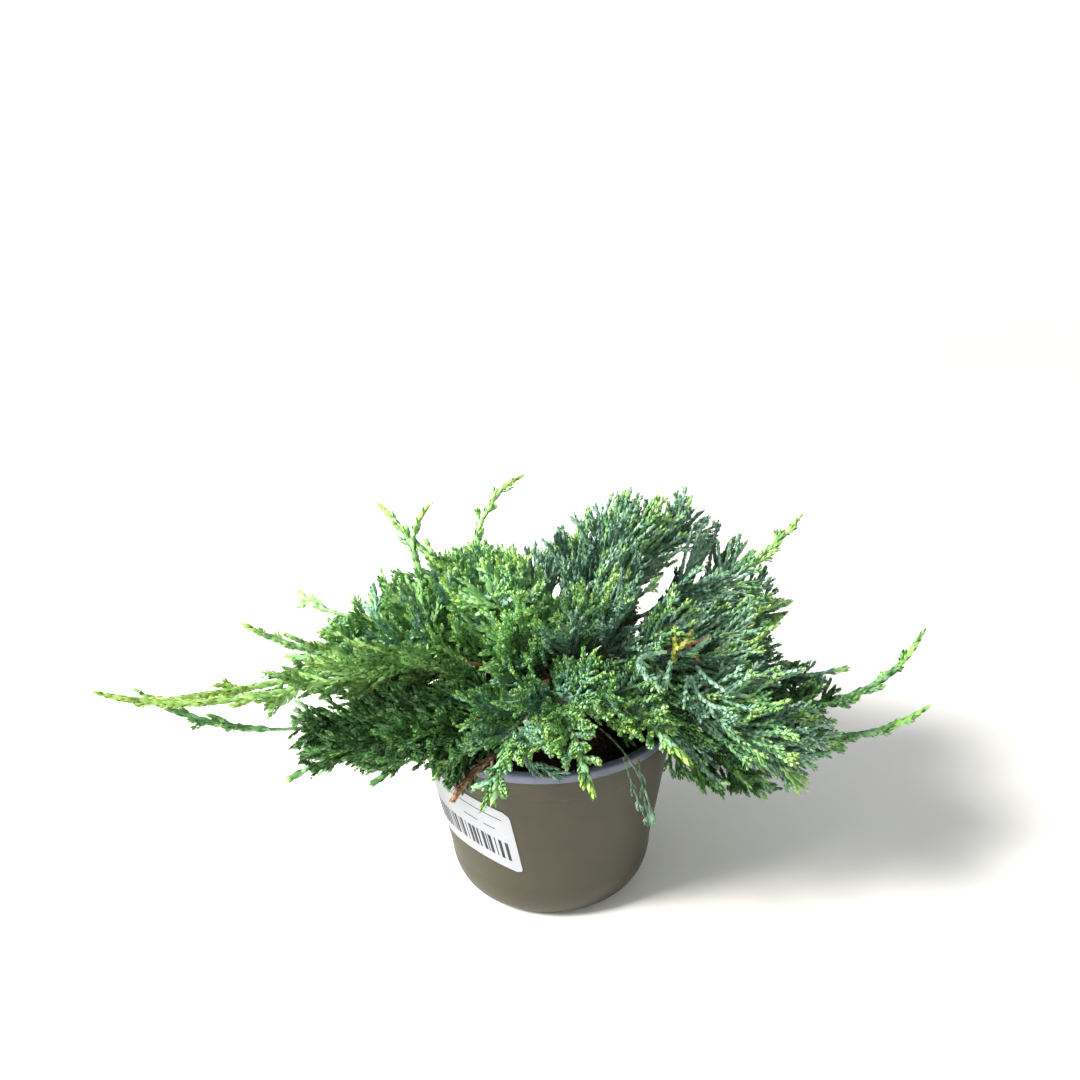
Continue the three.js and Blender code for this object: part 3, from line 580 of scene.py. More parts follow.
def tube(path, radii, sides, relief=0, strip=7):
    """Rings round a path, closed at both ends; relief roughens it with strips of bark."""
    tangents = unit(np.gradient(path, axis=0))
    across = unit(np.cross(tangents, up if abs(tangents[0, 2]) < 0.9 else np.array((1.0, 0, 0))))
    over = np.cross(across, tangents)
    angle = np.linspace(0, 2 * math.pi, sides, endpoint=False)
    rings = len(path)
    radius = np.repeat(np.asarray(radii, dtype=float)[:, None], sides, axis=1)
    if relief:
        for ring in range(rings):
            for side in range(sides):
                around = Vector((math.cos(angle[side]) * 2.2, math.sin(angle[side]) * 2.2,
                                 ring / strip + path[0][0]))
                fissure = abs(noise.noise(around)) * 1.6 + 0.5 * noise.noise(around * 2.7)
                radius[ring, side] *= 1 + relief * (fissure - 0.35)
    points = (path[:, None] + radius[..., None] * (
        np.cos(angle)[None, :, None] * across[:, None] + np.sin(angle)[None, :, None] * over[:, None]))
    points = np.concatenate([points.reshape(-1, 3), path[:1], path[-1:]])
    quads = np.roll(ring_faces(rings, sides), -1, axis=1)
    near = np.arange(sides)
    near_beside = (near + 1) % sides
    far = (rings - 1) * sides
    ends = [
        np.stack([near, near_beside, np.full(sides, rings * sides)], -1),
        np.stack([far + near_beside, far + near, np.full(sides, rings * sides + 1)], -1),
    ]
    return points, np.concatenate([quads[:, [0, 1, 2]], quads[:, [0, 2, 3]], *ends])


def joined(shapes):
    """One set of points and faces from many."""
    starts = np.cumsum([0] + [len(points) for points, faces in shapes])
    faces = [faces + start for (points, faces), start in zip(shapes, starts)]
    return np.concatenate([points for points, _ in shapes]), [np.concatenate(faces)]


# Juniper bark: grey brown and fibrous outside, red brown where a strip has just come off.
bark = finish("stringy_juniper_bark", {"Roughness": 0.9, "Specular IOR Level": 0.25})
mottle(bark, 2.5, {"Detail": 6, "Roughness": 0.7, "Distortion": 0.6},
       [(0.32, "#3d2d22"), (0.52, "#70503c"), (0.7, "#8f7560")], (0.5, 0.3))

trunk_points = []
for ring in range(trunk_rings + 1):
    share = ring / trunk_rings
    height = trunk_foot + (trunk_top - trunk_foot) * share
    raised = max(0, height - soil_level)
    flare = (flare_radius - trunk_radius) * math.exp(-3 * raised / flare_height)
    taper = trunk_radius + (trunk_top_radius - trunk_radius) * share
    dome = math.sqrt(max(0.0, 1 - max(0, (share - 0.9) / 0.1) ** 2 * 0.9))
    for side in range(trunk_sides):
        angle = 2 * math.pi * side / trunk_sides
        lobe = 1 + flare_depth * math.cos(flare_lobes * angle) * math.exp(-2 * raised / flare_height)
        around = Vector((math.cos(angle) * 3, math.sin(angle) * 3, height / 9))
        fissure = abs(noise.noise(around)) * 0.16 + noise.noise(around * 3.1) * 0.05 - 0.06
        radius = (taper + flare) * lobe * dome * (1 + fissure)
        leaning = radius * math.cos(angle) + trunk_lean * raised
        trunk_points.append((leaning, radius * math.sin(angle), height))
trunk_head = np.arange(trunk_rings * trunk_sides, (trunk_rings + 1) * trunk_sides)[None]
trunk_base = np.arange(trunk_sides)[::-1][None]
dress("trunk_bark", trunk_points, [ring_faces(trunk_rings + 1, trunk_sides), trunk_head, trunk_base],
      bark, "bark", ["trunk"])

boughs = {}
for name, shoot in shoots.items():
    if shoot[6]:
        path = along_course(course(shoot), np.linspace(0, shoot[4] + bough_past_enter, bough_rings))[0]
        bough_radii = np.linspace(root_radius, enter_radius, bough_rings)
        boughs[f"{name}_bough"] = tube(path, bough_radii, bough_sides, relief=0.22)
dress("bough_bark", *joined(list(boughs.values())), bark, "bark", list(boughs))


# Dead wood
# A stem that was cut back long ago rises from the soil and hangs over the rim at the front left,
# its bark flaking off in orange brown strips. Higher up, a short red brown twig has dried out.
cut_stem_foot = (246, 25, 79)
cut_stem_crest = (242, 60, 104)
cut_stem_tip = (240, 88, 88)
cut_stem_radius = 2.0
cut_stem_tip_radius = 1.25
cut_stem_rings = 60
cut_stem_sides = 18
flake_count = 26
flake_rings = (16, 50)
dry_twig_at = 0.86
dry_twig_heading = 10
dry_twig_lift = 12
dry_twig_length = 24
dry_twig_radius = 1.3
dry_twig_taper = 0.45
dry_twig_rings = 24


def bent_path(root, along, onward, length, count):
    """Evenly spaced points of a sprig that starts along one way and turns onward, with tangents."""
    t = np.linspace(0, 1, count)[:, None]
    middle = root + along * length * 0.5
    tip = middle + onward * length * 0.5
    points = (1 - t) ** 2 * root + 2 * t * (1 - t) * middle + t ** 2 * tip
    return points, unit((1 - t) * along + t * onward)


# Weathered dead wood: orange brown where the bark has lifted, pale grey tan on the bare grain.
deadwood = finish("dry_flaking_deadwood", {"Roughness": 0.85, "Specular IOR Level": 0.25})
mottle(deadwood, 3, {"Detail": 6, "Roughness": 0.7, "Distortion": 0.8},
       [(0.36, "#4d382c"), (0.5, "#86634c"), (0.68, "#bda68e")], (0.6, 0.3))

t = np.linspace(0, 1, cut_stem_rings)[:, None]
cut_stem_path = ((1 - t) ** 2 * spot(*cut_stem_foot) + 2 * t * (1 - t) * spot(*cut_stem_crest)
                 + t ** 2 * spot(*cut_stem_tip))
cut_stem_radii = np.linspace(cut_stem_radius, cut_stem_tip_radius, cut_stem_rings)
cut_stem_parts = [tube(cut_stem_path, cut_stem_radii, cut_stem_sides, relief=0.3, strip=5)]
flake_radii = np.array([0.35, 0.5, 0.5, 0.42, 0.3, 0.1])
random = np.random.default_rng(29)
for flake in range(flake_count):
    at = int(random.integers(*flake_rings))
    along = unit(cut_stem_path[at + 1] - cut_stem_path[at])
    out = unit(np.cross(along, random.normal(size=3)))
    lift = 0.15 + 0.35 * random.random()
    flake_root = cut_stem_path[at] + out * cut_stem_radii[at] * 0.85
    flake_length = 4 + 5 * random.random()
    flake_path = bent_path(flake_root, unit(along + out * 0.1), unit(along + out * lift),
                           flake_length, len(flake_radii))[0]
    cut_stem_parts.append(tube(flake_path, flake_radii, 4))
dress("cut_stem_wood", *joined(cut_stem_parts), deadwood, "deadwood", ["cut_stem"])

knot = along_course(course(shoots["centre_right_spray"]), dry_twig_at)[0]
dry_along = direction(dry_twig_heading, dry_twig_lift)
dry_middle = knot + dry_along * dry_twig_length / 2
dry_parts = []
for arm_root, arm_along, arm_share in (
        (knot, dry_along, 1),
        (dry_middle, direction(dry_twig_heading - 75, -20), 0.5),
        (dry_middle, direction(dry_twig_heading + 150, 25), 0.55)):
    arm_length = dry_twig_length * arm_share
    arm_path = bent_path(arm_root, arm_along, arm_along, arm_length, dry_twig_rings)[0]
    arm_radii = np.linspace(dry_twig_radius, dry_twig_radius * dry_twig_taper, dry_twig_rings)
    dry_parts.append(tube(arm_path, arm_radii, 12, relief=0.35, strip=3))
dress("dry_twig_wood", *joined(dry_parts), deadwood, "deadwood", ["dry_twig"])


# How the foliage grows
# Every shoot bears twigs left and right, every twig bears cords, and every cord is clothed in
# small scale leaves that sit in crossed pairs. A cord that would leave its shoot's space, touch
# another limb or the pot, or close a gap in the crown is skipped.
first_seed = 101
course_steps = 21
space_overlap = 16
limb_gap = 0.8
pot_gap = 0.6
opening_margin = 1.0
crowd_cell = 3.2
crowd_limit = 2
crowded_share = 0.5
crowd = np.zeros((160, 160, 90), dtype=np.int16)
crowd_corner = (256, 256, 0)
outline_play = 3.5
shorter_tries = (1, 0.8, 0.62, 0.46)
twig_wood = []
courses = {name: course(shoot) for name, shoot in shoots.items()}
course_points = np.array([
    along_course(controls, np.linspace(0, 1, course_steps))[0] for controls in courses.values()])
shoot_order = list(shoots)

# Openings in the crown: x, y and half width in pixels of the picture, 1080 wide, and how far from
# the camera they reach in millimetres: right through to the sky, or into the dark between two
# sprays, or as deep as a twig that shows inside.
picture_size = 1080
eye = np.array(camera_place) / mm
through = 900
openings = (
    (645, 588, 3.4, through), (641, 599, 3.4, through), (639, 610, 3.4, through),
    (637, 622, 3, through), (636, 633, 2.6, through), (664, 591, 2.8, through),
    (697, 579, 2.2, through), (556, 594, 3, through), (605, 742, 14, through), (575, 700, 8, 440),
    (672, 676, 22, 494), (702, 676, 14, 490), (686, 647, 17, 499), (704, 640, 12, 501),
    (515, 750, 9, 425), (488, 757, 7, 503), (476, 770, 8, 496), (462, 787, 8, 489),
)


def sight_line(x, y):
    """Unit vector from the camera through a pixel of the picture."""
    aside = (x - picture_size / 2) / picture_size
    down = (y - picture_size / 2) / picture_size
    return np.array((sight + right * aside - above * down).normalized())


gap_lines = [(sight_line(x, y), half_width / picture_size, end) for x, y, half_width, end in openings]

# Outline of the crown without its leaders, as the camera sees it against the upright plane
# through the pot's axis: x and height there, clockwise from the lower left.
crown_outline = np.array((
    (-133, 60), (-125, 73), (-127, 93), (-111, 107), (-111, 126), (-102, 146), (-83, 157),
    (-74, 167), (-56, 167), (-48, 175), (-29, 180), (-12, 172), (9, 187), (24, 194), (45, 202),
    (53, 189), (63, 201), (77, 197), (81, 178), (104, 174), (109, 165), (105, 151), (121, 144),
    (111, 129), (115, 117), (134, 103), (144, 95), (153, 81), (159, 66), (144, 57), (131, 44),
    (111, 34), (81, 37), (58, 49), (50, 35), (42, 36), (33, 62), (27, 58), (23, 44), (16, 46),
    (6, 57), (-15, 54), (-23, 40), (-41, 45), (-51, 43), (-60, 55), (-72, 68), (-84, 54),
    (-103, 64),
))


def in_outline(points):
    """Whether the camera sees all the points inside the crown's outline, give or take its play."""
    share = (eye[1] / (eye[1] - points[:, 1]))[:, None]
    seen = eye + (points - eye) * share + outline_play * random.normal(size=3)
    x1, z1 = crown_outline.T
    x2, z2 = np.roll(crown_outline, -1, axis=0).T
    crosses = (z1 > seen[:, 2:]) != (z2 > seen[:, 2:])
    rise = np.where(z1 == z2, 1, z2 - z1)
    meets = seen[:, :1] < (x2 - x1) * (seen[:, 2:] - z1) / rise + x1
    return bool(np.all(np.sum(crosses & meets, axis=1) % 2 == 1))


def off_the_gaps(points):
    """Whether points stay out of the lines of sight through the crown's openings."""
    from_eye = points - eye
    for line, spread, end in gap_lines:
        depth = from_eye @ line
        aside = np.linalg.norm(from_eye - depth[:, None] * line, axis=1)
        if np.any((aside < spread * depth + opening_margin) & (depth < end)):
            return False
    return True


def clear_of_pot(points, radius):
    """Whether points keep off the pot, its rim and the soil."""
    reach = np.hypot(points[:, 0], points[:, 1])
    height = points[:, 2]
    margin = radius + pot_gap
    outside = (reach > rim_radius + margin) & (height > margin)
    inside = (reach < rim_radius - lip_width - margin) & (height > soil_level + margin)
    return bool(np.all((height > rim_top + margin) | outside | inside))


def crowd_cells(points):
    """Cells of the space round the plant that points fall in."""
    cells = ((points + crowd_corner) / crowd_cell).astype(int).T
    return tuple(np.clip(cells, 0, np.array(crowd.shape)[:, None] - 1))


def has_room(points, radius, owner, beyond):
    """Whether a sprig stays in its shoot's own space, off the pot and out of the gaps."""
    if not clear_of_pot(points, radius):
        return False
    apart = np.linalg.norm(points[:, None, None] - course_points[None], axis=-1).min(axis=2)
    others = np.delete(apart, owner, axis=1).min(axis=1)
    if np.any(apart[:, owner] > others + space_overlap):
        return False
    half = len(points) // 2
    if np.any(others[half:] < radius + limb_gap):
        return False
    if not beyond and not (off_the_gaps(points) and in_outline(points[half:])):
        return False
    return np.mean(crowd[crowd_cells(points)] >= crowd_limit) < crowded_share


def fitted(root, along, onward, length, pitch, radius, owner, beyond):
    """The longest of a few lengths of a sprig that has room, or None."""
    for share in shorter_tries:
        count = max(4, round(length * share / pitch) + 1)
        points, tangents = bent_path(root, along, onward, length * share, count)
        if has_room(points, radius, owner, beyond):
            np.add.at(crowd, crowd_cells(points), 1)
            return points, tangents
    return None


def sideways(onward, forward, side, rise):
    """Direction of a side shoot: part onward, part to one side, part up."""
    aside = unit(np.cross(onward, up))
    return unit(forward * onward + side * aside + rise * np.cross(aside, onward))


def vary(spread):
    """A factor near one."""
    return 1 + spread * (2 * random.random() - 1)


# A cord narrows a little towards its end and is rounded off over its blunt last part.
cord_taper = 0.12
blunt_share = 0.35
blunt_radius_loss = 0.6
blunt_leaf_loss = 0.4
core_share = 0.62
core_sides = 4


def clothe(pile, points, tangents, radius, leaf, tints, looseness, blunt=blunt_share, core=True):
    """Scale leaves in crossed pairs along a path, round a slim core; tints run from root to tip."""
    count = len(points)
    share = np.linspace(0, 1, count)
    across = np.cross(tangents[0], tangents[-1])
    if np.linalg.norm(across) < 0.05:
        across = np.cross(tangents[0], random.normal(size=3))
    across = unit(across - tangents * (tangents @ across)[:, None])
    over = np.cross(tangents, across)
    end = np.clip((share - 1 + blunt) / blunt, 0, 1) if blunt else 0 * share
    size = radius * (1 - cord_taper * share) * np.sqrt(1 - blunt_radius_loss * end ** 3)
    first_turn = random.random() * math.pi
    angle = first_turn + math.pi / 2 * np.arange(count) + 0.25 * random.normal(size=count)
    out = np.cos(angle)[:, None] * across + np.sin(angle)[:, None] * over
    length = leaf * (1 - blunt_leaf_loss * end) * (0.85 + 0.3 * random.random(count))
    tint = np.minimum((share * 0.999 * len(tints)).astype(int), len(tints) - 1)
    lift = looseness * (0.5 + random.random(count)) - 0.3 * end ** 2
    for colour in set(tints):
        chosen = np.isin(tint, [index for index, name in enumerate(tints) if name == colour])
        if chosen.any():
            for hand in (1, -1):
                pile.setdefault(colour, []).append(np.column_stack([
                    points[chosen], tangents[chosen], hand * out[chosen],
                    length[chosen], size[chosen], lift[chosen]]))
    if core:
        rings = np.unique(np.linspace(0, count - 1, max(2, count // 3)).astype(int))
        core_rod = tube(points[rings], size[rings] * core_share, core_sides)
        pile.setdefault("core_" + tints[0], []).append(core_rod)


# A scale leaf's corners: how far along the cord in leaf lengths, how far out in cord radii.
leaf_base = (-0.1, 0.3)
leaf_shoulder = (0.5, 0.45)
leaf_keel = (0.55, 1)
leaf_tip = (1, 0.8)
leaf_half_width = 0.82


def leaf_shapes(rows):
    """Points and faces of many scale leaves, each four faces round a keel."""
    foot, along, out = rows[:, 0:3], rows[:, 3:6], rows[:, 6:9]
    length, size, lift = rows[:, 9:10], rows[:, 10:11], rows[:, 11:12]
    half = foot + leaf_shoulder[0] * length * along + leaf_shoulder[1] * size * out
    side = leaf_half_width * size * np.cross(along, out)
    base = foot + leaf_base[0] * length * along + leaf_base[1] * size * out
    keel = foot + leaf_keel[0] * length * along + (leaf_keel[1] + 0.5 * lift) * size * out
    tip = foot + leaf_tip[0] * length * along + (leaf_tip[1] + 2 * lift) * size * out
    points = np.stack([base, half + side, half - side, keel, tip], axis=1).reshape(-1, 3)
    pattern = np.array([(0, 3, 1), (0, 2, 3), (1, 3, 4), (3, 2, 4)])
    return points, (np.arange(len(rows))[:, None, None] * 5 + pattern).reshape(-1, 3)


# Cords and the nubs on them. A leaf is as long as two or so of the steps between its cord's pairs,
# so the pairs overlap.
cord_leaf_steps = 2
twig_leaf_steps = 2.2
nub_leaf_steps = 1.9
nub_lean = 0.75
nub_end_lean = 0.3
nub_radius_share = 0.9
nub_blunt_share = 0.4

# Twigs, the stems that bear them and the leaders that end the stems.
twig_step = 2.0
twig_room = 0.9
twig_foot_radius = 0.75
twig_end_radius = 0.6
twig_sides = 5
stem_step = 2.4
stem_leaf = 5.0
stem_rings = 24
stem_sides = 7
stem_in_trunk = 0.03
twigs_before_enter = 0.08
inner_spray_share = 0.52
leader_step = 2.6
leader_radius = 1.9
leader_leaf = 6.5
leader_blunt_share = 0.2
leader_cord_end = 4
leader_cord_growth = 13

# Growing values. twigs and cords: how many and how long; forward, side and rise: how a twig
# leaves the stem; bend: how far it turns on; droop: the part of the twigs that hang below the
# stem; nubs: short side cords along every cord; green_from: where scales begin on the stem.
common_habit = dict(
    droop=0.3, twigs=28, angle=0.5, turn_up=0.12, tilt=0.13, nub=5, nub_from=0.3, nub_step=3,
    bare=0.15, looseness=0.1, stem=1.0, green_from=0.35, beyond=False)
own_habits = {
    "fan": dict(
        forward=0.72, side=0.42, rise=0.62, bend=0.5, droop=0.25, twigs=26, twig=50, gap=3.6,
        cord=31, angle=0.34, radius=1.2, pitch=1.7, nub_from=0.7, nub_step=2),
    "bush": dict(
        forward=0.5, side=0.62, rise=0.72, bend=0.3, twig=38, gap=3.9, cord=18, turn_up=0.45,
        radius=1.35, pitch=1.65, nub=5.5, nub_from=0.2, looseness=0.07),
    "spray": dict(
        forward=0.8, side=0.7, rise=0.22, bend=0.5, twig=28, gap=4.6, cord=12, tilt=0.1,
        radius=1.5, pitch=1.35, bare=0.1, looseness=0.04, stem=1.5, green_from=0.0),
    "skirt": dict(
        forward=0.66, side=0.78, rise=0.35, bend=0.35, droop=0.35, twig=40, gap=3.8, cord=19,
        turn_up=0.1, radius=1.1, pitch=1.7, nub=4.4, looseness=0.12, stem=0.9),
    "whip": dict(
        forward=0.8, side=0.5, rise=0.4, bend=0.3, droop=0.5, twigs=18, twig=30, gap=4.4, cord=13,
        angle=0.4, turn_up=0.2, radius=1.5, pitch=1.9, nub_from=0.2, stem=1.6, green_from=0.0,
        beyond=True),
    "comb": dict(
        gap=2.8, cord=11, turn_up=0.0, tilt=0.08, radius=0.85, pitch=1.4, nub=0, bare=0.1,
        looseness=0.2, beyond=True),
    "tassel": dict(
        twigs=0, gap=2.3, cord=5.5, angle=0.42, turn_up=0.0, tilt=0.08, radius=0.6, pitch=1.3,
        nub=0, bare=0.02, looseness=0.2, stem=0.5, green_from=0.0, beyond=True),
    "curl": dict(pitch=1.7, radius=1.35, nub=3.4, nub_from=0.5, looseness=0.12, beyond=True),
}
habits = {kind: {**common_habit, **own} for kind, own in own_habits.items()}

# Twigs and cords that show singly in the picture, by the shoot that bears them: habit and tints,
# root as heading, reach and height, heading and lift at the root and at the tip, length.
inner_tints = "blue green green fresh"
waxy_tints = "glaucous glaucous glaucous glaucous glaucous fresh"
sprigs = {
    "centre_right_spray": [
        ("curl", waxy_tints, (310, 81, 149), (198, 9), (347, -37), 49),
        ("curl", waxy_tints, (301, 84, 141), (297, -32), (341, 20), 12),
        ("curl", waxy_tints, (312, 81, 144), (258, -26), (229, -59), 24),
        ("curl", waxy_tints, (308, 81, 141), (246, -27), (200, -52), 19),
        ("curl", waxy_tints, (322, 85, 137), (303, -33), (12, -9), 34),
        ("curl", waxy_tints, (319, 85, 134), (276, -41), (0, 4), 35),
        ("curl", waxy_tints, (317, 85, 135), (252, -14), (258, -46), 20),
        ("curl", waxy_tints, (317, 82, 144), (336, 36), (40, 8), 16),
        ("curl", "gold", (314, 80, 142), (286, 64), (90, 44), 18),
        ("curl", "gold", (313, 82, 149), (334, 35), (60, 29), 13),
    ],
    "front_left_spray": [
        ("comb", "fine", (250, 55, 103), (334, 19), (351, -20), 28),
        ("comb", "fine", (257, 62, 102), (299, -4), (349, -17), 27),
        ("comb", "green fresh", (251, 78, 106), (262, -45), (235, -60), 16),
        ("comb", "green fresh", (239, 70, 103), (218, 11), (197, -34), 18),
    ],
    "centre_bush": [
        ("bush", inner_tints, (200, 12, 120), (190, 42), (200, 66), 36),
        ("bush", inner_tints, (225, 10, 117), (215, 46), (225, 72), 38),
        ("bush", inner_tints, (240, 14, 112), (238, 24), (240, 52), 38),
        ("bush", inner_tints, (262, 10, 115), (258, 46), (262, 72), 36),
        ("bush", inner_tints, (285, 10, 112), (290, 36), (300, 62), 34),
    ],
    "front_spray": [
        ("bush", inner_tints, (262, 16, 106), (255, 40), (262, 66), 34),
        ("bush", inner_tints, (276, 20, 106), (278, 34), (285, 62), 32),
    ],
    "hanging_twig": [
        ("tassel", "grey", (294, 79, 104), (291, -53), (22, -68), 33),
        ("tassel", "grey", (299, 80, 102), (277, -59), (35, -75), 34),
    ],
}


def grow_cord(pile, root, along, onward, length, habit, tints, owner):
    """One cord, and the nubs on both sides of it."""
    radius, pitch, looseness = habit["radius"], habit["pitch"], habit["looseness"]
    path = fitted(root, along, onward, length, pitch, radius, owner, habit["beyond"])
    if path is None:
        return
    points, tangents = path
    clothe(pile, points, tangents, radius, pitch * cord_leaf_steps, tints, looseness)
    if not habit["nub"]:
        return
    aside = unit(np.cross(tangents[0], random.normal(size=3)))
    first = max(2, round(len(points) * habit["nub_from"]))
    for index, at in enumerate(range(first, len(points) - 2, habit["nub_step"])):
        hand = -1 if index % 2 else 1
        share = at / len(points)
        nub_length = habit["nub"] * vary(0.3) * (1.15 - 0.45 * share)
        nub_points, nub_tangents = bent_path(
            points[at], unit(tangents[at] + hand * nub_lean * aside),
            unit(tangents[at] + hand * nub_end_lean * aside), nub_length,
            max(3, round(nub_length / pitch) + 1))
        nub_tints = tints[-2:] if share > 0.5 else tints[:2]
        clothe(pile, nub_points, nub_tangents, radius * nub_radius_share, pitch * nub_leaf_steps,
               nub_tints, looseness, nub_blunt_share, core=False)


def grow_twig(pile, root, along, onward, length, habit, tints, owner):
    """One twig: bare brown wood at its foot, green beyond, with cords left and right."""
    path = fitted(root, along, onward, length, twig_step, twig_room, owner, habit["beyond"])
    if path is None:
        return
    points, tangents = path
    bare = max(1, round(len(points) * habit["bare"]))
    bare_radii = np.linspace(twig_foot_radius, twig_end_radius, bare + 1)
    twig_wood.append(tube(points[:bare + 1], bare_radii, twig_sides))
    clothe(pile, points[bare:], tangents[bare:], habit["radius"], habit["pitch"] * twig_leaf_steps,
           tints, habit["looseness"])
    turn_axis = np.cross(along, onward) + 0.6 * unit(np.cross(along, up))
    turn_axis = unit(turn_axis + 0.4 * random.normal(size=3))
    aside = unit(np.cross(turn_axis, tangents[len(tangents) // 2]))
    count = max(2, round(np.linalg.norm(points[-1] - points[0]) / habit["gap"]))
    for index in range(count):
        share = 0.08 + 0.88 * (index + 0.5 * random.random()) / count
        at = min(len(points) - 1, round(share * (len(points) - 1)))
        hand = 1 if index % 2 else -1
        tilt = habit["tilt"] * random.normal(size=3)
        spread = hand * habit["angle"]
        cord_along = unit(tangents[at] + spread * vary(0.3) * aside * 1.5 + tilt * 0.6)
        cord_onward = unit(tangents[at] + spread * 0.35 * aside + tilt + habit["turn_up"] * up)
        cord_length = habit["cord"] * (1.05 - 0.45 * share) * vary(0.22)
        fresh_end = 2 if share < 0.45 else 1 if share < 0.75 else 0
        cord_tints = tints[:max(1, len(tints) - fresh_end)]
        grow_cord(pile, points[at], cord_along, cord_onward, cord_length, habit, cord_tints, owner)


def grow_shoot(name, pile, palette, leader_tints):
    """The whole foliage of one shoot: its single sprigs, its stem, its twigs and its leader."""
    kind, root, tip, end, enter, last, bough = shoots[name]
    habit = habits[kind]
    owner = shoot_order.index(name)
    controls = courses[name]
    for sprig_kind, tints, foot, along, onward, length in sprigs.get(name, []):
        grow = grow_cord if sprig_kind == "curl" else grow_twig
        grow(pile, spot(*foot), direction(*along), direction(*onward), length, habits[sprig_kind],
             tints.split(), owner)
    start = enter if bough else stem_in_trunk
    first = enter - twigs_before_enter
    green_from = enter + (last - enter) * habit["green_from"]
    if green_from > start:
        stem_points = along_course(controls, np.linspace(start, green_from, stem_rings))[0]
        stem_radii = np.linspace(habit["stem"] * 1.2, habit["stem"], stem_rings)
        twig_wood.append(tube(stem_points, stem_radii, stem_sides))
    leader_foot = along_course(controls, last)[0]
    stem_length = np.linalg.norm(leader_foot - along_course(controls, green_from)[0])
    stem_shares = np.linspace(max(start, green_from), last, max(4, round(stem_length / stem_step)))
    clothe(pile, *along_course(controls, stem_shares), habit["stem"] * 1.25, stem_leaf,
           leader_tints[:1], looseness=0.1, blunt=0)
    for index in range(habit["twigs"]):
        share = (index + 0.5) / habit["twigs"]
        at = first + (last - first) * share
        hand = -1 if index % 2 else 1
        point, onward = along_course(controls, at)
        # Twigs are longest before the middle of the shoot, and shorten towards its leader.
        profile = 0.6 + 0.4 * math.sin(math.pi * min(1, share * 1.3)) - 0.35 * share * share
        rise = habit["rise"] * vary(0.6) + 0.12 * random.normal()
        if random.random() < habit["droop"]:
            rise = -0.75 * rise
        along = sideways(onward, habit["forward"] * vary(0.2), hand * habit["side"] * vary(0.5), rise)
        outward = unit(along + onward * habit["bend"])
        tints = palette[random.integers(len(palette))]
        ways = habit
        if kind == "spray" and at < inner_spray_share:
            ways = habits["bush"]
            tints = inner_tints
        length = ways["twig"] * profile * vary(0.2)
        grow_twig(pile, point, along, outward, length, ways, tints.split(), owner)
    count = max(4, round(np.linalg.norm(controls[3] - leader_foot) / leader_step))
    points, tangents = along_course(controls, np.linspace(last, 1, count))
    clothe(pile, points, tangents, leader_radius, leader_leaf, leader_tints, looseness=0.04,
           blunt=leader_blunt_share)
    for index, at in enumerate(range(1, count - 4, 3)):
        share = at / count
        hand = -1 if index % 2 else 1
        side_along = sideways(tangents[at], 1, 0.42 * hand, 0.25 * random.normal())
        side_onward = sideways(tangents[at], 1, 0.12 * hand, 0.1)
        side_length = (leader_cord_end + leader_cord_growth * (1 - share) ** 1.6) * vary(0.3)
        grow_cord(pile, points[at], side_along, side_onward, side_length, habits["whip"],
                  leader_tints[-3:], owner)


def grow_kind(kind, slot, scales, palette, leader_tints):
    """All shoots of one kind, each from its own seed, dressed as one piece for each colour."""
    global random
    pile = {}
    names = [name for name in shoots if shoots[name][0] == kind]
    for name in names:
        random = np.random.default_rng(first_seed + shoot_order.index(name))
        grow_shoot(name, pile, palette, leader_tints.split())
    # Waxy juniper scales: a shade in the folds, a body colour and a patchy pale bloom.
    for colour, (scale_name, shade, body, bloom) in scales.items():
        if colour in pile:
            material = finish(scale_name, {"Roughness": 0.45, "Specular IOR Level": 0.35, "IOR": 1.45})
            mottle(material, 3.5, {"Detail": 3}, [(0.3, shade), (0.5, body), (0.72, bloom)])
            leaves = leaf_shapes(np.concatenate(pile[colour]))
            shapes = joined([leaves] + pile.get("core_" + colour, []))
            dress(f"{kind}_{colour}", *shapes, material, slot, names)


# Fans of the right, the top and the back
# Long shoots whose twigs stream onward in near parallel cords, blue green under a pale wax bloom,
# with fresher green ends. The cords look braided, from their crossed pairs of pressed leaves.
# The deep tints at the roots of cords and stems are partly older foliage and partly painted shade inside
# the crown.
grow_kind("fan", "foliage_blue_green", {
    "deep": ("deep_blue_green_scales", "#3a5a4a", "#587d68", "#86a88e"),
    "glaucous": ("glaucous_scales", "#527d66", "#779f86", "#a8c8b0"),
    "fresh": ("fresh_green_scales", "#5f9150", "#84b068", "#abd08a"),
    "tip": ("fan_lime_tips", "#769b50", "#8fb062", "#a8c47e"),
    "green": ("fan_green_scales", "#41714a", "#62935f", "#8fb883"),
    "gold": ("sun_yellowed_scales", "#64702c", "#889240", "#abb560"),
}, [
    "deep deep glaucous glaucous fresh",
    "deep deep deep glaucous",
    "deep green green fresh tip",
    "glaucous glaucous glaucous fresh tip",
    "glaucous glaucous glaucous glaucous fresh",
    "deep glaucous green fresh tip",
    "green green fresh tip",
], "glaucous fresh fresh tip")


# Bushy masses of the left and the centre
# Short blunt cords stand up close together, each with nubs on both sides, mid green with
# yellow green ends where they are still growing.
# The deep tints at the roots of cords and stems are partly older foliage and partly painted shade inside
# the crown.
grow_kind("bush", "foliage_green", {
    "deep": ("deep_green_scales", "#4b7545", "#76a663", "#9fc889"),
    "blue": ("bush_blue_green_scales", "#54846a", "#7aaa8c", "#a8cdb4"),
    "green": ("leaf_green_scales", "#699f5f", "#95c97f", "#b9dfa2"),
    "fresh": ("bush_fresh_scales", "#78a552", "#9cc468", "#b8d888"),
    "tip": ("bush_lime_tips", "#789e46", "#94b65a", "#adc876"),
}, [
    "deep green green green",
    "deep deep green green",
    "blue blue green fresh",
    "blue green green fresh",
    "green green fresh fresh",
    "green green fresh tip",
], "deep green green fresh")


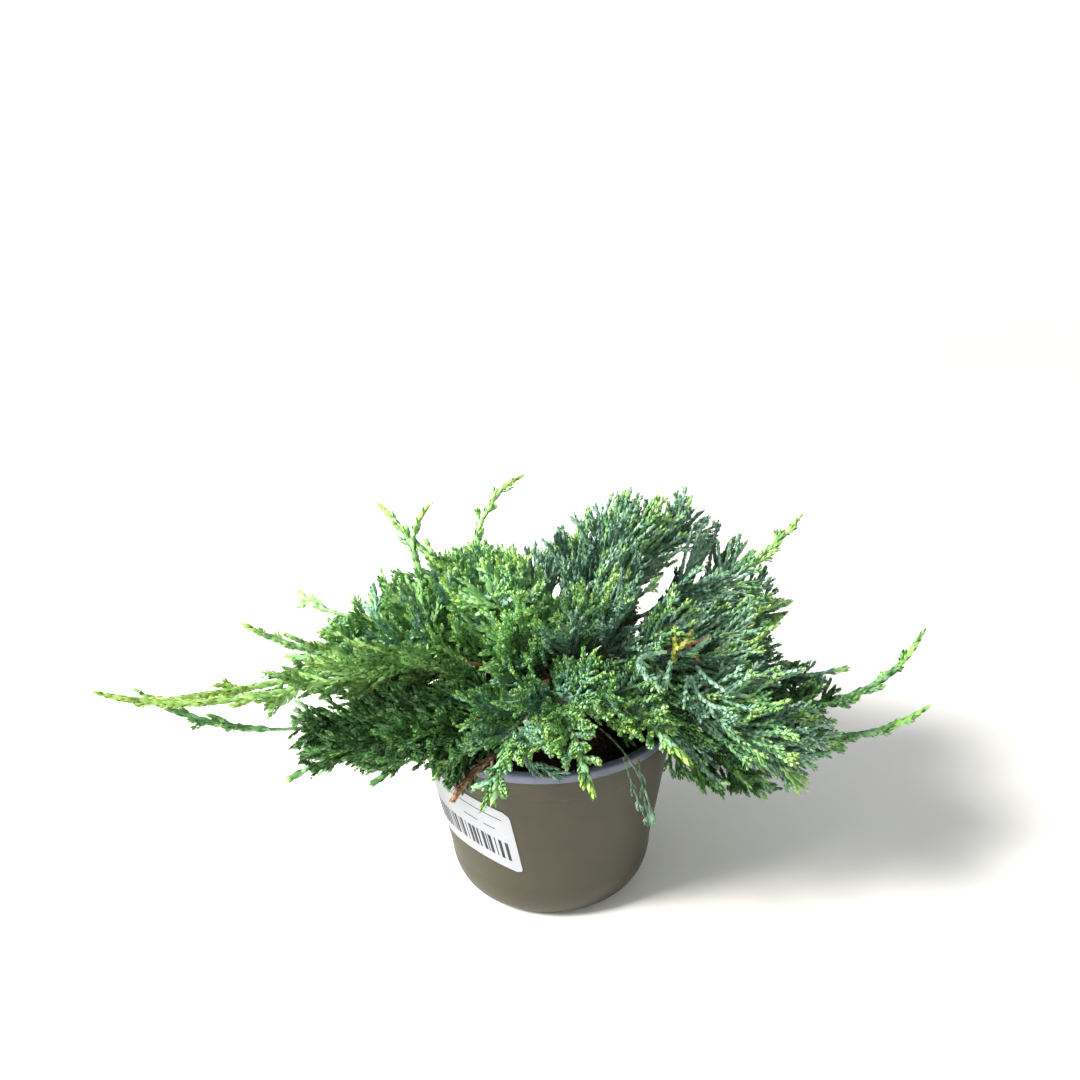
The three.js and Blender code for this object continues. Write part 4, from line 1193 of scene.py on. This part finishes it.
# Sprays over the rim at the front
# Broad flat sprays of thick blunt cords under a wax bloom, with yellow green ends. Fine grey green
# combs show between them, and bushy inner twigs behind.
grow_kind("spray", "foliage_green", {
    "green": ("spray_green_scales", "#467441", "#669553", "#90b67a"),
    "fresh": ("spray_fresh_scales", "#628c3f", "#7ea651", "#9cbe72"),
    "pale": ("pale_bloom_scales", "#5a8a60", "#7aa676", "#a0c294"),
    "tip": ("spray_lime_tips", "#70943c", "#88a84c", "#a0bc68"),
    "fine": ("fine_grey_green_scales", "#4a6f5a", "#6a9078", "#98b49e"),
    "blue": ("spray_blue_green_scales", "#47735a", "#68967a", "#94b8a2"),
}, [
    "green pale fresh tip",
    "blue pale pale fresh",
    "green green fresh tip",
], "pale pale fresh tip")


# Skirts below the crown
# Flat combs of fine cords that hang outwards and down from the lowest boughs, and the low leaders
# left and right. This foliage is the darkest, because little light gets there.
grow_kind("skirt", "foliage_deep_green", {
    "dark": ("dark_green_scales", "#2b4829", "#416838", "#628858"),
    "green": ("skirt_green_scales", "#41703e", "#609059", "#89b47e"),
    "fresh": ("skirt_fresh_scales", "#598d40", "#7dae55", "#a6cc7a"),
}, [
    "dark dark green",
    "dark green green fresh",
    "dark dark green green fresh",
], "green green fresh")


# Leaders at the left
# This year's long shoots, thick and pale, with large leaves pressed flat along them. They grow
# from the left of the trunk, out past the rest of the crown.
# The deep tints at the roots of cords and stems are partly older foliage and partly painted shade inside
# the crown.
grow_kind("whip", "foliage_leader_green", {
    "green": ("leader_green_scales", "#5e8c4a", "#84b064", "#b0d092"),
    "fresh": ("leader_fresh_scales", "#668d3e", "#84a850", "#a5c276"),
    "tip": ("leader_lime_tips", "#769a40", "#93b254", "#b0c878"),
    "deep": ("leader_deep_scales", "#4f7846", "#72a05e", "#9cc084"),
}, [
    "deep green green fresh",
    "deep green green",
    "green green fresh tip",
], "green fresh fresh tip")


# Hanging twig
# One thin twig hangs over the rim at the front right in two strands, grey green and like a
# fishbone: its cords are short and leave it left and right.
grow_kind("tassel", "foliage_grey_green", {
    "grey": ("grey_green_scales", "#3e5c46", "#5f8068", "#8aa890"),
    "fresh": ("grey_fresh_scales", "#5c8558", "#7ea274", "#a4c296"),
}, [
    "grey grey fresh",
], "grey grey fresh")


# Twig wood
# The thin brown wood inside the crown: each shoot's stem and the bare feet of its twigs. The
# stems grow out of the boughs, or out of the trunk itself where a shoot has no bough.

# Young rind: smooth, mottled in two browns, with a faint sheen.
twig_bark = finish("young_brown_twig_bark", {"Roughness": 0.8, "Specular IOR Level": 0.3})
mottle(twig_bark, 2, {"Detail": 4}, [(0, "#4a3a28"), (1, "#7d6a48")])
dress("twig_wood", *joined(twig_wood), twig_bark, "bark", list(shoots))
